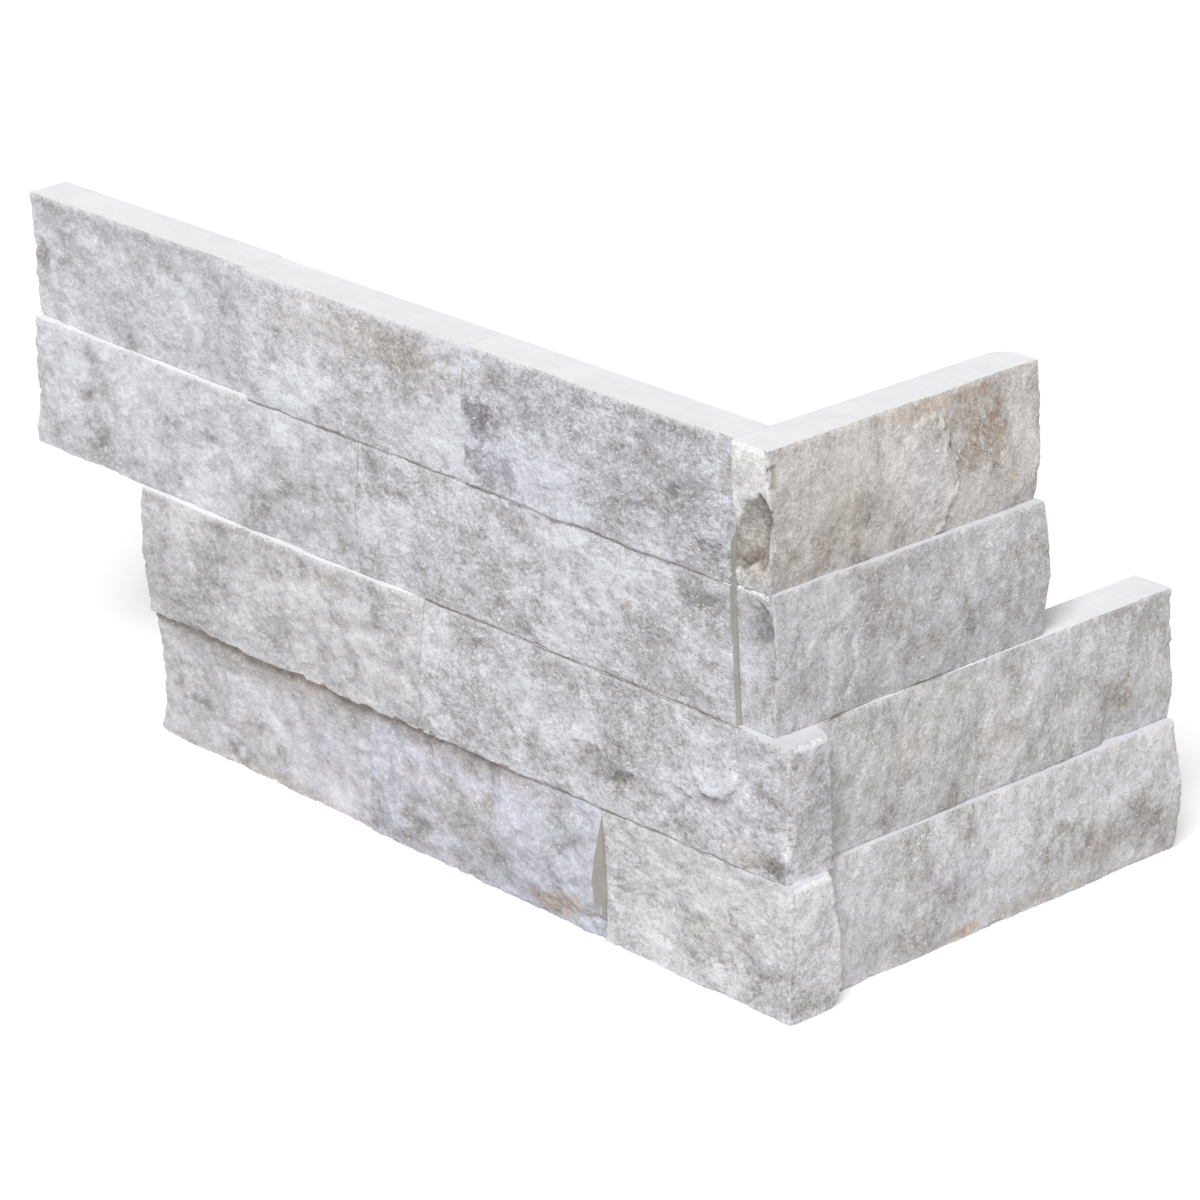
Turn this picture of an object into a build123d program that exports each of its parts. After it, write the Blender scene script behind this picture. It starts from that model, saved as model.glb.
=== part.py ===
from build123d import *

import os
from dataclasses import dataclass
from math import pi, sin

# Stacked stone ledger corner: fourteen strips of split stone glued in four courses round an outside corner.
# Sizes are in millimetres. The origin is the foot of the wall corner, where the two sawn backs meet.
# The long leg runs towards -X with its split face to -Y. The short leg runs towards +Y and faces +X.

course_height = 37.5

# Reach of the legs from the wall corner. The two pairs of courses are staggered, so that panels interlock.
upper_long_reach = 309.0
upper_short_reach = 78.0
lower_long_reach = 253.0
lower_short_reach = 125.0

# Lengths of the strips whose length isn't what is left over in their course
top_left_length = 107.0
top_middle_length = 97.5
second_left_length = 157.0
third_left_length = 128.0
bottom_left_length = 101.0
bottom_middle_length = 100.0

# How far the strips that show an end run past the wall corner
upper_return_overrun = 12.9
third_corner_overrun = 20.5
bottom_corner_overrun = 20.1

# The exposed ends of the two lower corner strips lean back towards their foot by this much
third_end_lean = 3.0
bottom_end_lean = 1.4

# Thickness of each strip off the wall, at its upper arris and at the end towards the wall corner
top_left_thickness = 11.8
top_middle_thickness = 12.9
top_right_thickness = 12.7
top_return_thickness = 13.6
second_left_thickness = 14.4
second_right_thickness = 14.1
second_return_thickness = 13.2
third_left_thickness = 17.5
third_corner_thickness = 14.8
third_return_thickness = 13.0
bottom_left_thickness = 16.6
bottom_middle_thickness = 16.7
bottom_corner_thickness = 16.4
bottom_return_thickness = 14.0

# Relief of the split faces: spacing of the stations, length and depth of the flakes
station_spacing = 17.0
flake_length = 43.0
flake_depth = 0.8
face_heights = (0.0, 0.22, 0.5, 0.8, 1.0)

# The sawn back of the top left strip stands this far behind the others, and its near corner is worn round
top_left_back_step = 1.1
top_left_corner_radius = 1.8

# Shell-shaped hollow broken into the exposed end of the top return strip, and how far off the wall it is
shell_radius = 19.5
shell_depth = 2.5
shell_height = 15.0
shell_reach = 7.6

# The back corner at the far end of the top return strip is worn round
round_end_radius = 6.5

# Flake missing from the lower far end of the third return strip: deepest at the foot, beside the step where
# it starts, running out to a shallow break towards the end and to nothing at its rise
third_flake_start = 101.0
third_flake_run = 8.0
third_flake_depth = 2.4
third_flake_end_depth = 0.6
third_flake_rise = 18.0

# Ledge broken into the upper arris at the far end of the bottom return strip
ledge_start = 108.0
ledge_depth = 0.3
ledge_drop = 11.0

# Lower back corner broken off the exposed end of the bottom corner strip
end_chip_radius = 5.0

# Both exposed ends have their upper back corner worn off: how wide at the top, and how far down it runs out
third_wear_width = 2.4
third_wear_drop = 37.5
bottom_wear_width = 2.8
bottom_wear_drop = 17.5

# Spall broken off the outer arris of the third corner strip, by its height above the foot
spall_radius = 12.0
spall_depth = 2.6
spall_height = 13.5

# Undercut below the proud near end of the bottom middle strip: it rises towards that end
undercut_length = 17.0
undercut_rise = 11.0
undercut_depth = 18.4

# Stock that a breaking cut reaches past the stone on every side
cut_margin = 6.0


@dataclass(frozen=True)
class SplitFace:
    """A strip's split face: its thickness at the near upper arris, and how that changes from there.

    The lean is how much further the foot stands out than the upper arris, at each end. The taper is how much
    further the far upper arris stands out than the near one. The belly is the swell at half height.
    """

    thickness: float
    near_lean: float
    far_lean: float
    taper: float
    near_belly: float
    far_belly: float
    phase: float

    def depth(self, share, height):
        """Depth at a share of the strip's length from its near end, and a share of its height."""
        upper = self.thickness + self.taper * share
        lean = self.near_lean + (self.far_lean - self.near_lean) * share
        belly = self.near_belly + (self.far_belly - self.near_belly) * share
        return upper + lean * (1 - height) + belly * sin(pi * height)


# The near end of a strip is the one towards the wall corner
top_left_face = SplitFace(
    top_left_thickness, near_lean=0.6, far_lean=-0.2, taper=0.2, near_belly=0.8, far_belly=0.0, phase=0.4
)
top_middle_face = SplitFace(
    top_middle_thickness, near_lean=1.4, far_lean=1.3, taper=0.5, near_belly=0.9, far_belly=1.1, phase=1.9
)
top_right_face = SplitFace(
    top_right_thickness, near_lean=2.0, far_lean=2.6, taper=-0.4, near_belly=0.6, far_belly=0.8, phase=3.3
)
top_return_face = SplitFace(
    top_return_thickness, near_lean=-1.2, far_lean=-0.8, taper=-1.0, near_belly=1.2, far_belly=1.7, phase=5.0
)
second_left_face = SplitFace(
    second_left_thickness, near_lean=1.7, far_lean=3.0, taper=-0.4, near_belly=1.0, far_belly=0.4, phase=2.4
)
second_right_face = SplitFace(
    second_right_thickness, near_lean=0.5, far_lean=1.5, taper=0.2, near_belly=0.6, far_belly=1.1, phase=4.1
)
second_return_face = SplitFace(
    second_return_thickness,
    near_lean=-0.7,
    far_lean=-1.9,
    taper=1.0,
    near_belly=0.8,
    far_belly=2.4,
    phase=0.9,
)
third_left_face = SplitFace(
    third_left_thickness, near_lean=1.8, far_lean=0.4, taper=1.6, near_belly=0.8, far_belly=1.9, phase=3.8
)
third_corner_face = SplitFace(
    third_corner_thickness, near_lean=0.9, far_lean=3.5, taper=0.6, near_belly=0.7, far_belly=1.0, phase=1.2
)
third_return_face = SplitFace(
    third_return_thickness, near_lean=-0.4, far_lean=-1.6, taper=0.4, near_belly=0.8, far_belly=0.9, phase=2.9
)
bottom_left_face = SplitFace(
    bottom_left_thickness, near_lean=1.6, far_lean=1.6, taper=1.0, near_belly=-0.6, far_belly=-2.3, phase=5.6
)
bottom_middle_face = SplitFace(
    bottom_middle_thickness, near_lean=1.3, far_lean=2.4, taper=-0.1, near_belly=4.3, far_belly=0.6, phase=0.2
)
bottom_corner_face = SplitFace(
    bottom_corner_thickness, near_lean=0.4, far_lean=1.2, taper=0.8, near_belly=0.0, far_belly=-1.6, phase=4.6
)
bottom_return_face = SplitFace(
    bottom_return_thickness,
    near_lean=-1.0,
    far_lean=-1.1,
    taper=-0.1,
    near_belly=1.2,
    far_belly=3.0,
    phase=1.6,
)


def long_leg(reach, foot):
    """Section plane across the long leg: its x is the depth off the wall, its y the height."""
    return Plane(origin=(-reach, 0, foot), x_dir=(0, -1, 0), z_dir=(-1, 0, 0))


def short_leg(reach, foot):
    """Section plane across the short leg: its x is the depth off the wall, its y the height."""
    return Plane(origin=(0, reach, foot), x_dir=(1, 0, 0), z_dir=(0, -1, 0))


def section_outline(face, near, far, reach, back):
    """Outline of a strip across its length: sawn back and beds, split face in short facets."""
    share = (reach - near) / (far - near)
    outline = [(-back, 0)]
    for height in face_heights:
        flake = sin(2 * pi * reach / flake_length + face.phase + 3 * height)
        swell = 0.4 + 0.6 * sin(pi * height)
        outline.append((face.depth(share, height) + flake_depth * flake * swell, height * course_height))
    outline.append((-back, course_height))
    return outline


def stations(near, far):
    """Distances from the wall corner at which a strip's outline is set out."""
    count = max(2, round((far - near) / station_spacing))
    return [near + (far - near) * step / count for step in range(count + 1)]


def outlines(leg, face, near, far, foot, back=0.0):
    """The outlines that a strip is lofted through, one at each station along its leg."""
    sections = []
    for reach in stations(near, far):
        with BuildSketch(leg(reach, foot)) as outline:
            with BuildLine():
                Polyline(*section_outline(face, near, far, reach, back), close=True)
            make_face()
        sections.append(outline.sketch)
    return sections


def keep(strip, name):
    """Name a finished strip and write it."""
    strip.part.label = name
    export_step(strip.part, f"parts/{name}.step")


def leaning_end(overrun, lean, foot):
    """Plane of an exposed end that leans back towards its foot."""
    return Plane(
        origin=(overrun, 0, foot + course_height),
        x_dir=(0, 1, 0),
        z_dir=(course_height, 0, -lean),
    )


def worn_corner(overrun, lean, foot, width, drop, start):
    """Plane that takes an exposed end's upper back corner off, and faces into the stone that stays."""
    crown = foot + course_height
    widest = Vector(overrun, -width, crown)
    inner = Vector(start, 0, crown)
    lowest = Vector(overrun - lean * drop / course_height, 0, crown - drop)
    return Plane(origin=widest, x_dir=inner - widest, z_dir=(inner - widest).cross(lowest - widest))


os.makedirs("parts", exist_ok=True)

bottom_foot = 0.0
third_foot = bottom_foot + course_height
second_foot = third_foot + course_height
top_foot = second_foot + course_height

# Top course: three strips on the long leg, closed at the corner by the return strip

top_left_near = upper_long_reach - top_left_length
top_middle_near = top_left_near - top_middle_length

with BuildPart() as top_left:
    loft(
        outlines(
            long_leg, top_left_face, top_left_near, upper_long_reach, top_foot, back=top_left_back_step
        ),
        ruled=True,
    )
    near_back_edge = top_left.edges().filter_by(Axis.Z).group_by(Axis.X)[-1].sort_by(Axis.Y)[-1]
    fillet(near_back_edge, top_left_corner_radius)
keep(top_left, "top_course_left_strip")

with BuildPart() as top_middle:
    loft(outlines(long_leg, top_middle_face, top_middle_near, top_left_near, top_foot), ruled=True)
keep(top_middle, "top_course_middle_strip")

with BuildPart() as top_right:
    loft(outlines(long_leg, top_right_face, 0, top_middle_near, top_foot), ruled=True)
keep(top_right, "top_course_right_strip")

# The return strip's exposed end has a shell-shaped hollow, and its far back corner is worn round

shell_centre = Vector(
    shell_reach,
    shell_depth - shell_radius - upper_return_overrun,
    top_foot + shell_height,
)

with BuildPart() as top_return:
    loft(outlines(short_leg, top_return_face, -upper_return_overrun, upper_short_reach, top_foot), ruled=True)
    with Locations(shell_centre):
        Sphere(shell_radius, mode=Mode.SUBTRACT)
    far_back_edge = top_return.edges().filter_by(Axis.Z).group_by(Axis.Y)[-1].sort_by(Axis.X)[0]
    fillet(far_back_edge, round_end_radius)
keep(top_return, "top_course_return_strip")

# Second course: two strips on the long leg and the return strip

second_left_near = upper_long_reach - second_left_length

with BuildPart() as second_left:
    loft(outlines(long_leg, second_left_face, second_left_near, upper_long_reach, second_foot), ruled=True)
keep(second_left, "second_course_left_strip")

with BuildPart() as second_right:
    loft(outlines(long_leg, second_right_face, 0, second_left_near, second_foot), ruled=True)
keep(second_right, "second_course_right_strip")

with BuildPart() as second_return:
    loft(
        outlines(short_leg, second_return_face, -upper_return_overrun, upper_short_reach, second_foot),
        ruled=True,
    )
keep(second_return, "second_course_return_strip")

# Third course: the corner strip runs past the wall corner, and the return strip butts on its back

third_left_near = lower_long_reach - third_left_length
third_wear_start = third_return_face.depth(0, 1) + flake_depth

# The spall is deepest half-way between the split face and the exposed end
spall_share = spall_height / course_height
spall_arris = Vector(
    third_corner_overrun - third_end_lean * (1 - spall_share),
    -third_corner_face.depth(0, spall_share),
    third_foot + spall_height,
)
spall_centre = spall_arris + Vector(1, -1, 0).normalized() * (spall_radius - spall_depth)

with BuildPart() as third_left:
    loft(outlines(long_leg, third_left_face, third_left_near, lower_long_reach, third_foot), ruled=True)
keep(third_left, "third_course_left_strip")

with BuildPart() as third_corner:
    loft(
        outlines(long_leg, third_corner_face, -third_corner_overrun, third_left_near, third_foot),
        ruled=True,
    )
    split(bisect_by=leaning_end(third_corner_overrun, third_end_lean, third_foot), keep=Keep.BOTTOM)
    worn_plane = worn_corner(
        third_corner_overrun,
        third_end_lean,
        third_foot,
        third_wear_width,
        third_wear_drop,
        third_wear_start,
    )
    split(bisect_by=worn_plane, keep=Keep.TOP)
    with Locations(spall_centre):
        Sphere(spall_radius, mode=Mode.SUBTRACT)
keep(third_corner, "third_course_corner_strip")

# A flake is missing from the lower far end of the return strip's face

flake_floor = third_return_face.depth(1, 0) - third_flake_depth
flake_end_floor = third_return_face.depth(1, 0) - third_flake_end_depth
flake_crown = third_return_face.depth(1, third_flake_rise / course_height)
flake_front = third_return_thickness + cut_margin

with BuildPart() as third_return:
    loft(outlines(short_leg, third_return_face, 0, lower_short_reach, third_foot), ruled=True)
    with BuildSketch(Plane.XY.offset(third_foot)):
        with BuildLine():
            Polyline(
                (flake_front, third_flake_start),
                (flake_floor, third_flake_start),
                (flake_end_floor, third_flake_start + third_flake_run),
                (flake_end_floor, lower_short_reach),
                (flake_front, lower_short_reach),
                close=True,
            )
        make_face()
    flake_slope = Vector(flake_crown - flake_floor, 0, third_flake_rise)
    extrude(amount=flake_slope.length, dir=flake_slope, mode=Mode.SUBTRACT)
keep(third_return, "third_course_return_strip")

# Bottom course: three strips on the long leg, the last one past the wall corner, and the return strip

bottom_left_near = lower_long_reach - bottom_left_length
bottom_middle_near = bottom_left_near - bottom_middle_length

with BuildPart() as bottom_left:
    loft(outlines(long_leg, bottom_left_face, bottom_left_near, lower_long_reach, bottom_foot), ruled=True)
keep(bottom_left, "bottom_course_left_strip")

# The middle strip's near end stands proud of its neighbour, and its foot is broken back below that

with BuildPart() as bottom_middle:
    loft(
        outlines(long_leg, bottom_middle_face, bottom_middle_near, bottom_left_near, bottom_foot),
        ruled=True,
    )
    with BuildSketch(Plane.XZ.offset(undercut_depth)):
        with BuildLine():
            Polyline(
                (-bottom_middle_near, bottom_foot),
                (-bottom_middle_near, bottom_foot + undercut_rise),
                (-bottom_middle_near - undercut_length, bottom_foot),
                close=True,
            )
        make_face()
    extrude(amount=bottom_middle_face.near_belly + cut_margin, mode=Mode.SUBTRACT)
keep(bottom_middle, "bottom_course_middle_strip")

# The corner strip's exposed end has its lower back corner broken round, where it clears the return strip

bottom_wear_start = bottom_return_face.depth(0, 1) + flake_depth

with BuildPart() as bottom_corner:
    loft(
        outlines(long_leg, bottom_corner_face, -bottom_corner_overrun, bottom_middle_near, bottom_foot),
        ruled=True,
    )
    split(bisect_by=leaning_end(bottom_corner_overrun, bottom_end_lean, bottom_foot), keep=Keep.BOTTOM)
    with BuildSketch(Plane.YZ.offset(bottom_return_face.depth(0, 0) + bottom_return_face.near_belly)):
        with BuildLine():
            RadiusArc((-end_chip_radius, 0), (0, end_chip_radius), -end_chip_radius)
            Polyline((0, end_chip_radius), (0, 0), (-end_chip_radius, 0))
        make_face()
    extrude(amount=bottom_corner_overrun, mode=Mode.SUBTRACT)
    worn_plane = worn_corner(
        bottom_corner_overrun,
        bottom_end_lean,
        bottom_foot,
        bottom_wear_width,
        bottom_wear_drop,
        bottom_wear_start,
    )
    split(bisect_by=worn_plane, keep=Keep.TOP)
keep(bottom_corner, "bottom_course_corner_strip")

# The return strip's upper arris is broken back to a ledge at its far end

ledge_top = bottom_return_face.depth(1, 1)
ledge_front = ledge_top + cut_margin

with BuildPart() as bottom_return:
    loft(outlines(short_leg, bottom_return_face, 0, lower_short_reach, bottom_foot), ruled=True)
    with BuildSketch(short_leg(lower_short_reach, bottom_foot)):
        with BuildLine():
            Polyline(
                (ledge_top - ledge_depth, course_height),
                (ledge_top + bottom_return_face.far_belly, course_height - ledge_drop),
                (ledge_front, course_height - ledge_drop),
                (ledge_front, course_height),
                close=True,
            )
        make_face()
    extrude(amount=lower_short_reach - ledge_start, mode=Mode.SUBTRACT)
keep(bottom_return, "bottom_course_return_strip")
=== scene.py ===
"""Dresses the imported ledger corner: fourteen strips of split marble glued in four courses.

Every strip is rebuilt as one closed stone over its CAD node. The split faces carry real relief, the beds,
backs and hidden ends are sawn flat. Lengths in the strips' code are millimetres, and turn to metres where a
mesh is written. Along a split face, places are the frame's x on the long leg and its y on the short leg.
"""

import logging
import math
from dataclasses import dataclass, field
from enum import Enum, IntEnum
from functools import lru_cache

import bpy
import numpy as np
from mathutils import Matrix, Vector
from mathutils.bvhtree import BVHTree


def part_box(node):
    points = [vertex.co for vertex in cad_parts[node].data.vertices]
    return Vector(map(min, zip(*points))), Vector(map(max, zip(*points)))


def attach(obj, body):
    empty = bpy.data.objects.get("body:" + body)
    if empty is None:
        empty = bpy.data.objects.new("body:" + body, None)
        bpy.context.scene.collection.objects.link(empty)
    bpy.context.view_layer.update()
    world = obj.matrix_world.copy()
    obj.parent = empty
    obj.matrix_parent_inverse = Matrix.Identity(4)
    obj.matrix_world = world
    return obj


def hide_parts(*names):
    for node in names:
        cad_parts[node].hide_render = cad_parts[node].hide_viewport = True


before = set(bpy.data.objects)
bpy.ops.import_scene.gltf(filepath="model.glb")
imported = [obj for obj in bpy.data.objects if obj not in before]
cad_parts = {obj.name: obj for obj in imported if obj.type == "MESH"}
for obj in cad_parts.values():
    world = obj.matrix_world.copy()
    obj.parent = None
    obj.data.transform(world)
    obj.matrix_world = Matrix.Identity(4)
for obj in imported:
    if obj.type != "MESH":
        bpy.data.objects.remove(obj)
LOG = logging.getLogger("ledger_corner")

METRE = 1000.0  # millimetres in a metre
BODY = "root"
RAYS_FROM = 90.0  # how far off a ray starts, mm
RAY_INSET = 0.03  # how far inside a strip's beds the outermost rays run, mm
LEDGE_STEP = 0.3  # how far above or below a joint the neighbour's face is felt, mm
END_BLEND = 1.5  # width of the turn from a split face to an exposed end, mm
NO_END = -99.0  # distance past the arris where a strip has no exposed end, mm

Pair = tuple[float, float]
Triple = tuple[float, float, float]  # a place, a way or a set of scales in space
Colour = Triple


class Side(Enum):
    """The way a strip's split face looks."""

    FRONT = "long leg, towards -Y"
    RIGHT = "short leg, towards +X"

    @property
    def inward(self) -> Pair:
        """The way into the stone through the split face."""
        return (0.0, 1.0) if self is Side.FRONT else (-1.0, 0.0)

    @property
    def end_inward(self) -> Pair:
        """The way into the stone through the exposed end."""
        return (-1.0, 0.0) if self is Side.FRONT else (0.0, 1.0)


class Skin(Enum):
    """The material slots of a strip, in order."""

    SPLIT = 0  # split face and exposed end
    SAWN = 1  # beds and backs
    END = 2  # sawn ends at the far end of a leg
    LEDGE_IN_SHADE = 3  # upper beds that the course above leaves bare, in a greyer copy of the beds' colour as painted shade
    NEAR = 4  # sawn ends that show in the gaps beside the corner, darkened as painted shade


class Draw(IntEnum):
    """Steps from a strip's seed to the seeds of its separate random draws."""

    TOP_CHIPS = 20
    FOOT_CHIPS = 40
    END_CHIPS = 60  # of the leg's open end
    LINE_THICKNESS = 60  # of the joint lines, from the same draw
    LINE_WIDTH = 61
    FOOT_BITES = 70
    CORNER_CHIPS = 80  # of the upright arris
    END_OUTLINE = 90
    NICKS = 91


def link(name: str, data: bpy.types.ID) -> bpy.types.Object:
    """Puts a new object into the scene.

    Args:
        name: its name.
        data: its mesh, lamp or camera.

    Returns:
        The object.
    """
    thing = bpy.data.objects.new(name, data)
    bpy.context.scene.collection.objects.link(thing)
    return thing


# Relief of a split face


def smooth_step(low: float, high: float, value: np.ndarray) -> np.ndarray:
    """Blends softly from 0 at low to 1 at high."""
    share = np.clip((value - low) / (high - low), 0.0, 1.0)
    return share * share * (3.0 - 2.0 * share)


@dataclass(frozen=True)
class Swell:
    """Soft bumps from a seeded lattice of random heights."""

    along: float  # size of a bump along the face, mm
    up: float  # and up the face
    seed: int
    columns: int = 97  # size of the lattice, past which the bumps repeat
    rows: int = 61

    def at(self, along: np.ndarray, up: np.ndarray) -> np.ndarray:
        """Reads the bumps.

        Args:
            along: distance along the face, mm.
            up: height on the face, mm.

        Returns:
            Heights from -1 to 1.
        """
        lattice = np.random.default_rng(self.seed).uniform(-1.0, 1.0, (self.columns, self.rows))
        u, v = along / self.along + 50.0, up / self.up + 50.0
        i, j = np.floor(u).astype(int), np.floor(v).astype(int)
        f, g = u - i, v - j
        f, g = f * f * (3.0 - 2.0 * f), g * g * (3.0 - 2.0 * g)
        near = lattice[i % self.columns, j % self.rows] * (1 - g)
        near += lattice[i % self.columns, (j + 1) % self.rows] * g
        far = lattice[(i + 1) % self.columns, j % self.rows] * (1 - g)
        far += lattice[(i + 1) % self.columns, (j + 1) % self.rows] * g
        return near * (1 - f) + far * f


@dataclass(frozen=True)
class Crystals:
    """Broken crystal facets: every cell of a jittered lattice is a small tilted plane."""

    along: float  # size of a cell along the face, mm
    up: float  # and up the face
    seed: int
    count: int = 101  # cells on each side of the lattice

    def at(self, along: np.ndarray, up: np.ndarray) -> np.ndarray:
        """Reads the facets.

        Args:
            along: distance along the face, mm.
            up: height on the face, mm.

        Returns:
            Heights of about -1 to 1.
        """
        rng = np.random.default_rng(self.seed)
        jitter = rng.uniform(0.0, 1.0, (self.count, self.count, 2))
        tilt = rng.normal(0.0, 0.7, (self.count, self.count, 2))
        lift = rng.uniform(-0.6, 0.6, (self.count, self.count))
        u, v = along / self.along + 50.0, up / self.up + 50.0
        i, j = np.floor(u).astype(int), np.floor(v).astype(int)
        nearest = np.full(u.shape, np.inf)
        height = np.zeros(u.shape)
        for step_i in (-1, 0, 1):
            for step_j in (-1, 0, 1):
                a, b = (i + step_i) % self.count, (j + step_j) % self.count
                du = u - (i + step_i + jitter[a, b, 0])
                dv = v - (j + step_j + jitter[a, b, 1])
                distance = du * du + dv * dv
                closer = distance < nearest
                plane = lift[a, b] + tilt[a, b, 0] * du + tilt[a, b, 1] * dv
                nearest = np.where(closer, distance, nearest)
                height = np.where(closer, plane, height)
        return height


@dataclass(frozen=True)
class Flake:
    """A shallow break with a crisp step on one side, running out to nothing on the other."""

    centre: Pair  # along the leg and height, mm of the frame
    half: Pair  # half length and half height, mm
    depth: float  # how far the break lies back, or stands out if below zero
    crisp: Pair  # the way to the crisp step
    ragged: float = 0.30
    grime_and_shade: float = 0.0  # how dark the break's floor is: grime, and painted shade
    turn: float = 0.0  # how far the outline is turned anticlockwise, radians

    def at(self, along: np.ndarray, level: np.ndarray) -> tuple[np.ndarray, np.ndarray]:
        """Depth of the break over the face, and where it lies.

        Args:
            along: place along the leg, mm.
            level: height in the frame, mm.

        Returns:
            Depths inwards, mm, and the break's outline as a mask.
        """
        beside, over = along - self.centre[0], level - self.centre[1]
        cos, sin = math.cos(self.turn), math.sin(self.turn)
        across = (beside * cos + over * sin) / self.half[0]
        upward = (over * cos - beside * sin) / self.half[1]
        size = math.hypot(*self.crisp)
        seed = int(abs(self.centre[0]) * 7 + abs(self.centre[1]) * 3) + 5
        edge = Swell(2.6, 2.2, seed).at(along, level) + 0.5 * Swell(1.1, 1.0, seed + 1).at(along, level)
        reach = np.hypot(across, upward) + self.ragged * edge
        lean = 0.5 + 0.5 * (across * self.crisp[0] + upward * self.crisp[1]) / size
        soft = 0.35 / min(self.half)
        inside = smooth_step(1.0 + soft, 1.0 - soft, reach)
        return self.depth * np.clip(lean, 0.0, 1.0) * inside, inside


@dataclass(frozen=True)
class Relief:
    """How rough a split face is. Depths and lengths are in mm, the slant in radians."""

    seed: int
    lump: float = 0.40
    knoll: float = 0.42
    knoll_size: Pair = (6.8, 4.0)
    slant: float = 0.22  # lean of the knolls' long way
    facet: float = 0.17
    grain: float = 0.15
    grain_size: Pair = (2.1, 1.5)
    fines: float = 0.09
    comb: float = 0.0  # depth of fine upright strokes
    calm: float = 0.60  # how far the coarse relief is held back beside the long arrises
    calm_reach: float = 4.0  # how far from those arrises
    chip: Pair = (3.1, 9.0)  # size of the chips along an arris, and of the small ones
    small_chip: Pair = (1.1, 9.0)
    chip_depth: float = 0.42

    def heights(self, along: np.ndarray, up: np.ndarray, rise: float) -> np.ndarray:
        """Relief over the face.

        Args:
            along: place along the leg, mm.
            up: height on the face, mm.
            rise: height of the strip, mm.

        Returns:
            Heights outwards from the mean face, mm.
        """
        warp = 1.6 * Swell(7.0, 6.0, self.seed + 1).at(along, up)
        lean = along * math.cos(self.slant) + up * math.sin(self.slant)
        cross = up * math.cos(self.slant) - along * math.sin(self.slant)
        lumps = Swell(17.0, 10.0, self.seed + 2).at(along + warp, up)
        long, tall = self.knoll_size
        knolls = Swell(long, tall, self.seed + 3).at(lean + warp, cross)
        knolls += 0.45 * Swell(long * 0.45, tall * 0.5, self.seed + 4).at(lean, cross + 0.5 * warp)
        facets = Crystals(long, tall * 1.2, self.seed + 9).at(lean + warp, cross + 0.6 * warp)
        edge = np.clip(np.minimum(up, rise - up) / self.calm_reach, 0.0, 1.0)
        coarse = self.lump * lumps + self.knoll * knolls + self.facet * facets
        coarse *= 1.0 - self.calm * (1.0 - edge) ** 2
        rough = 0.75 + 0.45 * Swell(16.0, 11.0, self.seed + 7).at(along, up)
        crystals = Crystals(*self.grain_size, self.seed + 5).at(along + 0.4 * warp, up)
        fines = Crystals(self.grain_size[0] * 0.5, self.grain_size[1] * 0.5, self.seed + 6).at(along, up)
        combed = Swell(1.3, 13.0, self.seed + 8).at(along + 0.10 * up, up)
        return coarse + rough * (self.grain * crystals + self.fines * fines) + self.comb * combed

    def chips(self, along: np.ndarray, gap: np.ndarray, draw: Draw) -> np.ndarray:
        """How far the face is nibbled back beside a long arris.

        Args:
            along: place along the leg, mm.
            gap: distance from the arris, mm.
            draw: sets the arrises apart.

        Returns:
            Depths inwards, mm.
        """
        flat, seed = np.zeros_like(along), self.seed + draw
        bites = smooth_step(0.35, 0.9, Swell(*self.chip, seed).at(along, flat))
        bites += 0.45 * smooth_step(0.1, 0.9, Swell(*self.small_chip, seed + 1).at(along, flat))
        return self.chip_depth * bites * np.clip(1.0 - gap / (0.35 + 1.1 * bites), 0.0, 1.0)


# Materials


def from_screen(red: int, green: int, blue: int) -> Colour:
    """Turns a colour as a screen shows it, 0 to 255, into the renderer's linear values."""
    shares = [value / 255.0 for value in (red, green, blue)]
    return tuple(s / 12.92 if s <= 0.04045 else ((s + 0.055) / 1.055) ** 2.4 for s in shares)


# painted highlight on the worn arrises
ARRIS_HIGHLIGHT = from_screen(240, 240, 242)
# joint lines: glue, with painted shade in the gap between strips
GLUE_AND_GAP_SHADE = from_screen(118, 110, 102)
# painted glint of the few flashing crystals
PAINTED_GLINT = from_screen(253, 253, 254)
# darkens the relief's hollows: grime, and painted shade
HOLLOW_GRIME_AND_SHADE = (0.60, 0.57, 0.55)
# painted shadow under an overhanging course
LEE_SHADOW = (0.52, 0.41, 0.31)
# darkens the flakes' floors: grime, and painted shade
PIT_GRIME_AND_SHADE = (0.34, 0.30, 0.26)
# tints of the stains: each multiplies the stone's colour
BEIGE = (0.86, 0.81, 0.73)
BROWN = (0.70, 0.62, 0.54)
TAN = (0.92, 0.76, 0.60)
SLATE = (0.66, 0.65, 0.66)
# DARK also lies over some flakes and creases, where it paints their shade along with grime
DARK = (0.50, 0.48, 0.46)
LILAC = (1.00, 0.99, 1.07)
PALE = (1.22, 1.22, 1.22)
# crystals are a little longer along the long leg; the scales are cells to a millimetre
CRYSTAL_SHAPE = (0.75, 1.0, 1.0)
CRYSTAL_SCALE, SUGAR_SCALE = 1.25, 2.1


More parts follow.
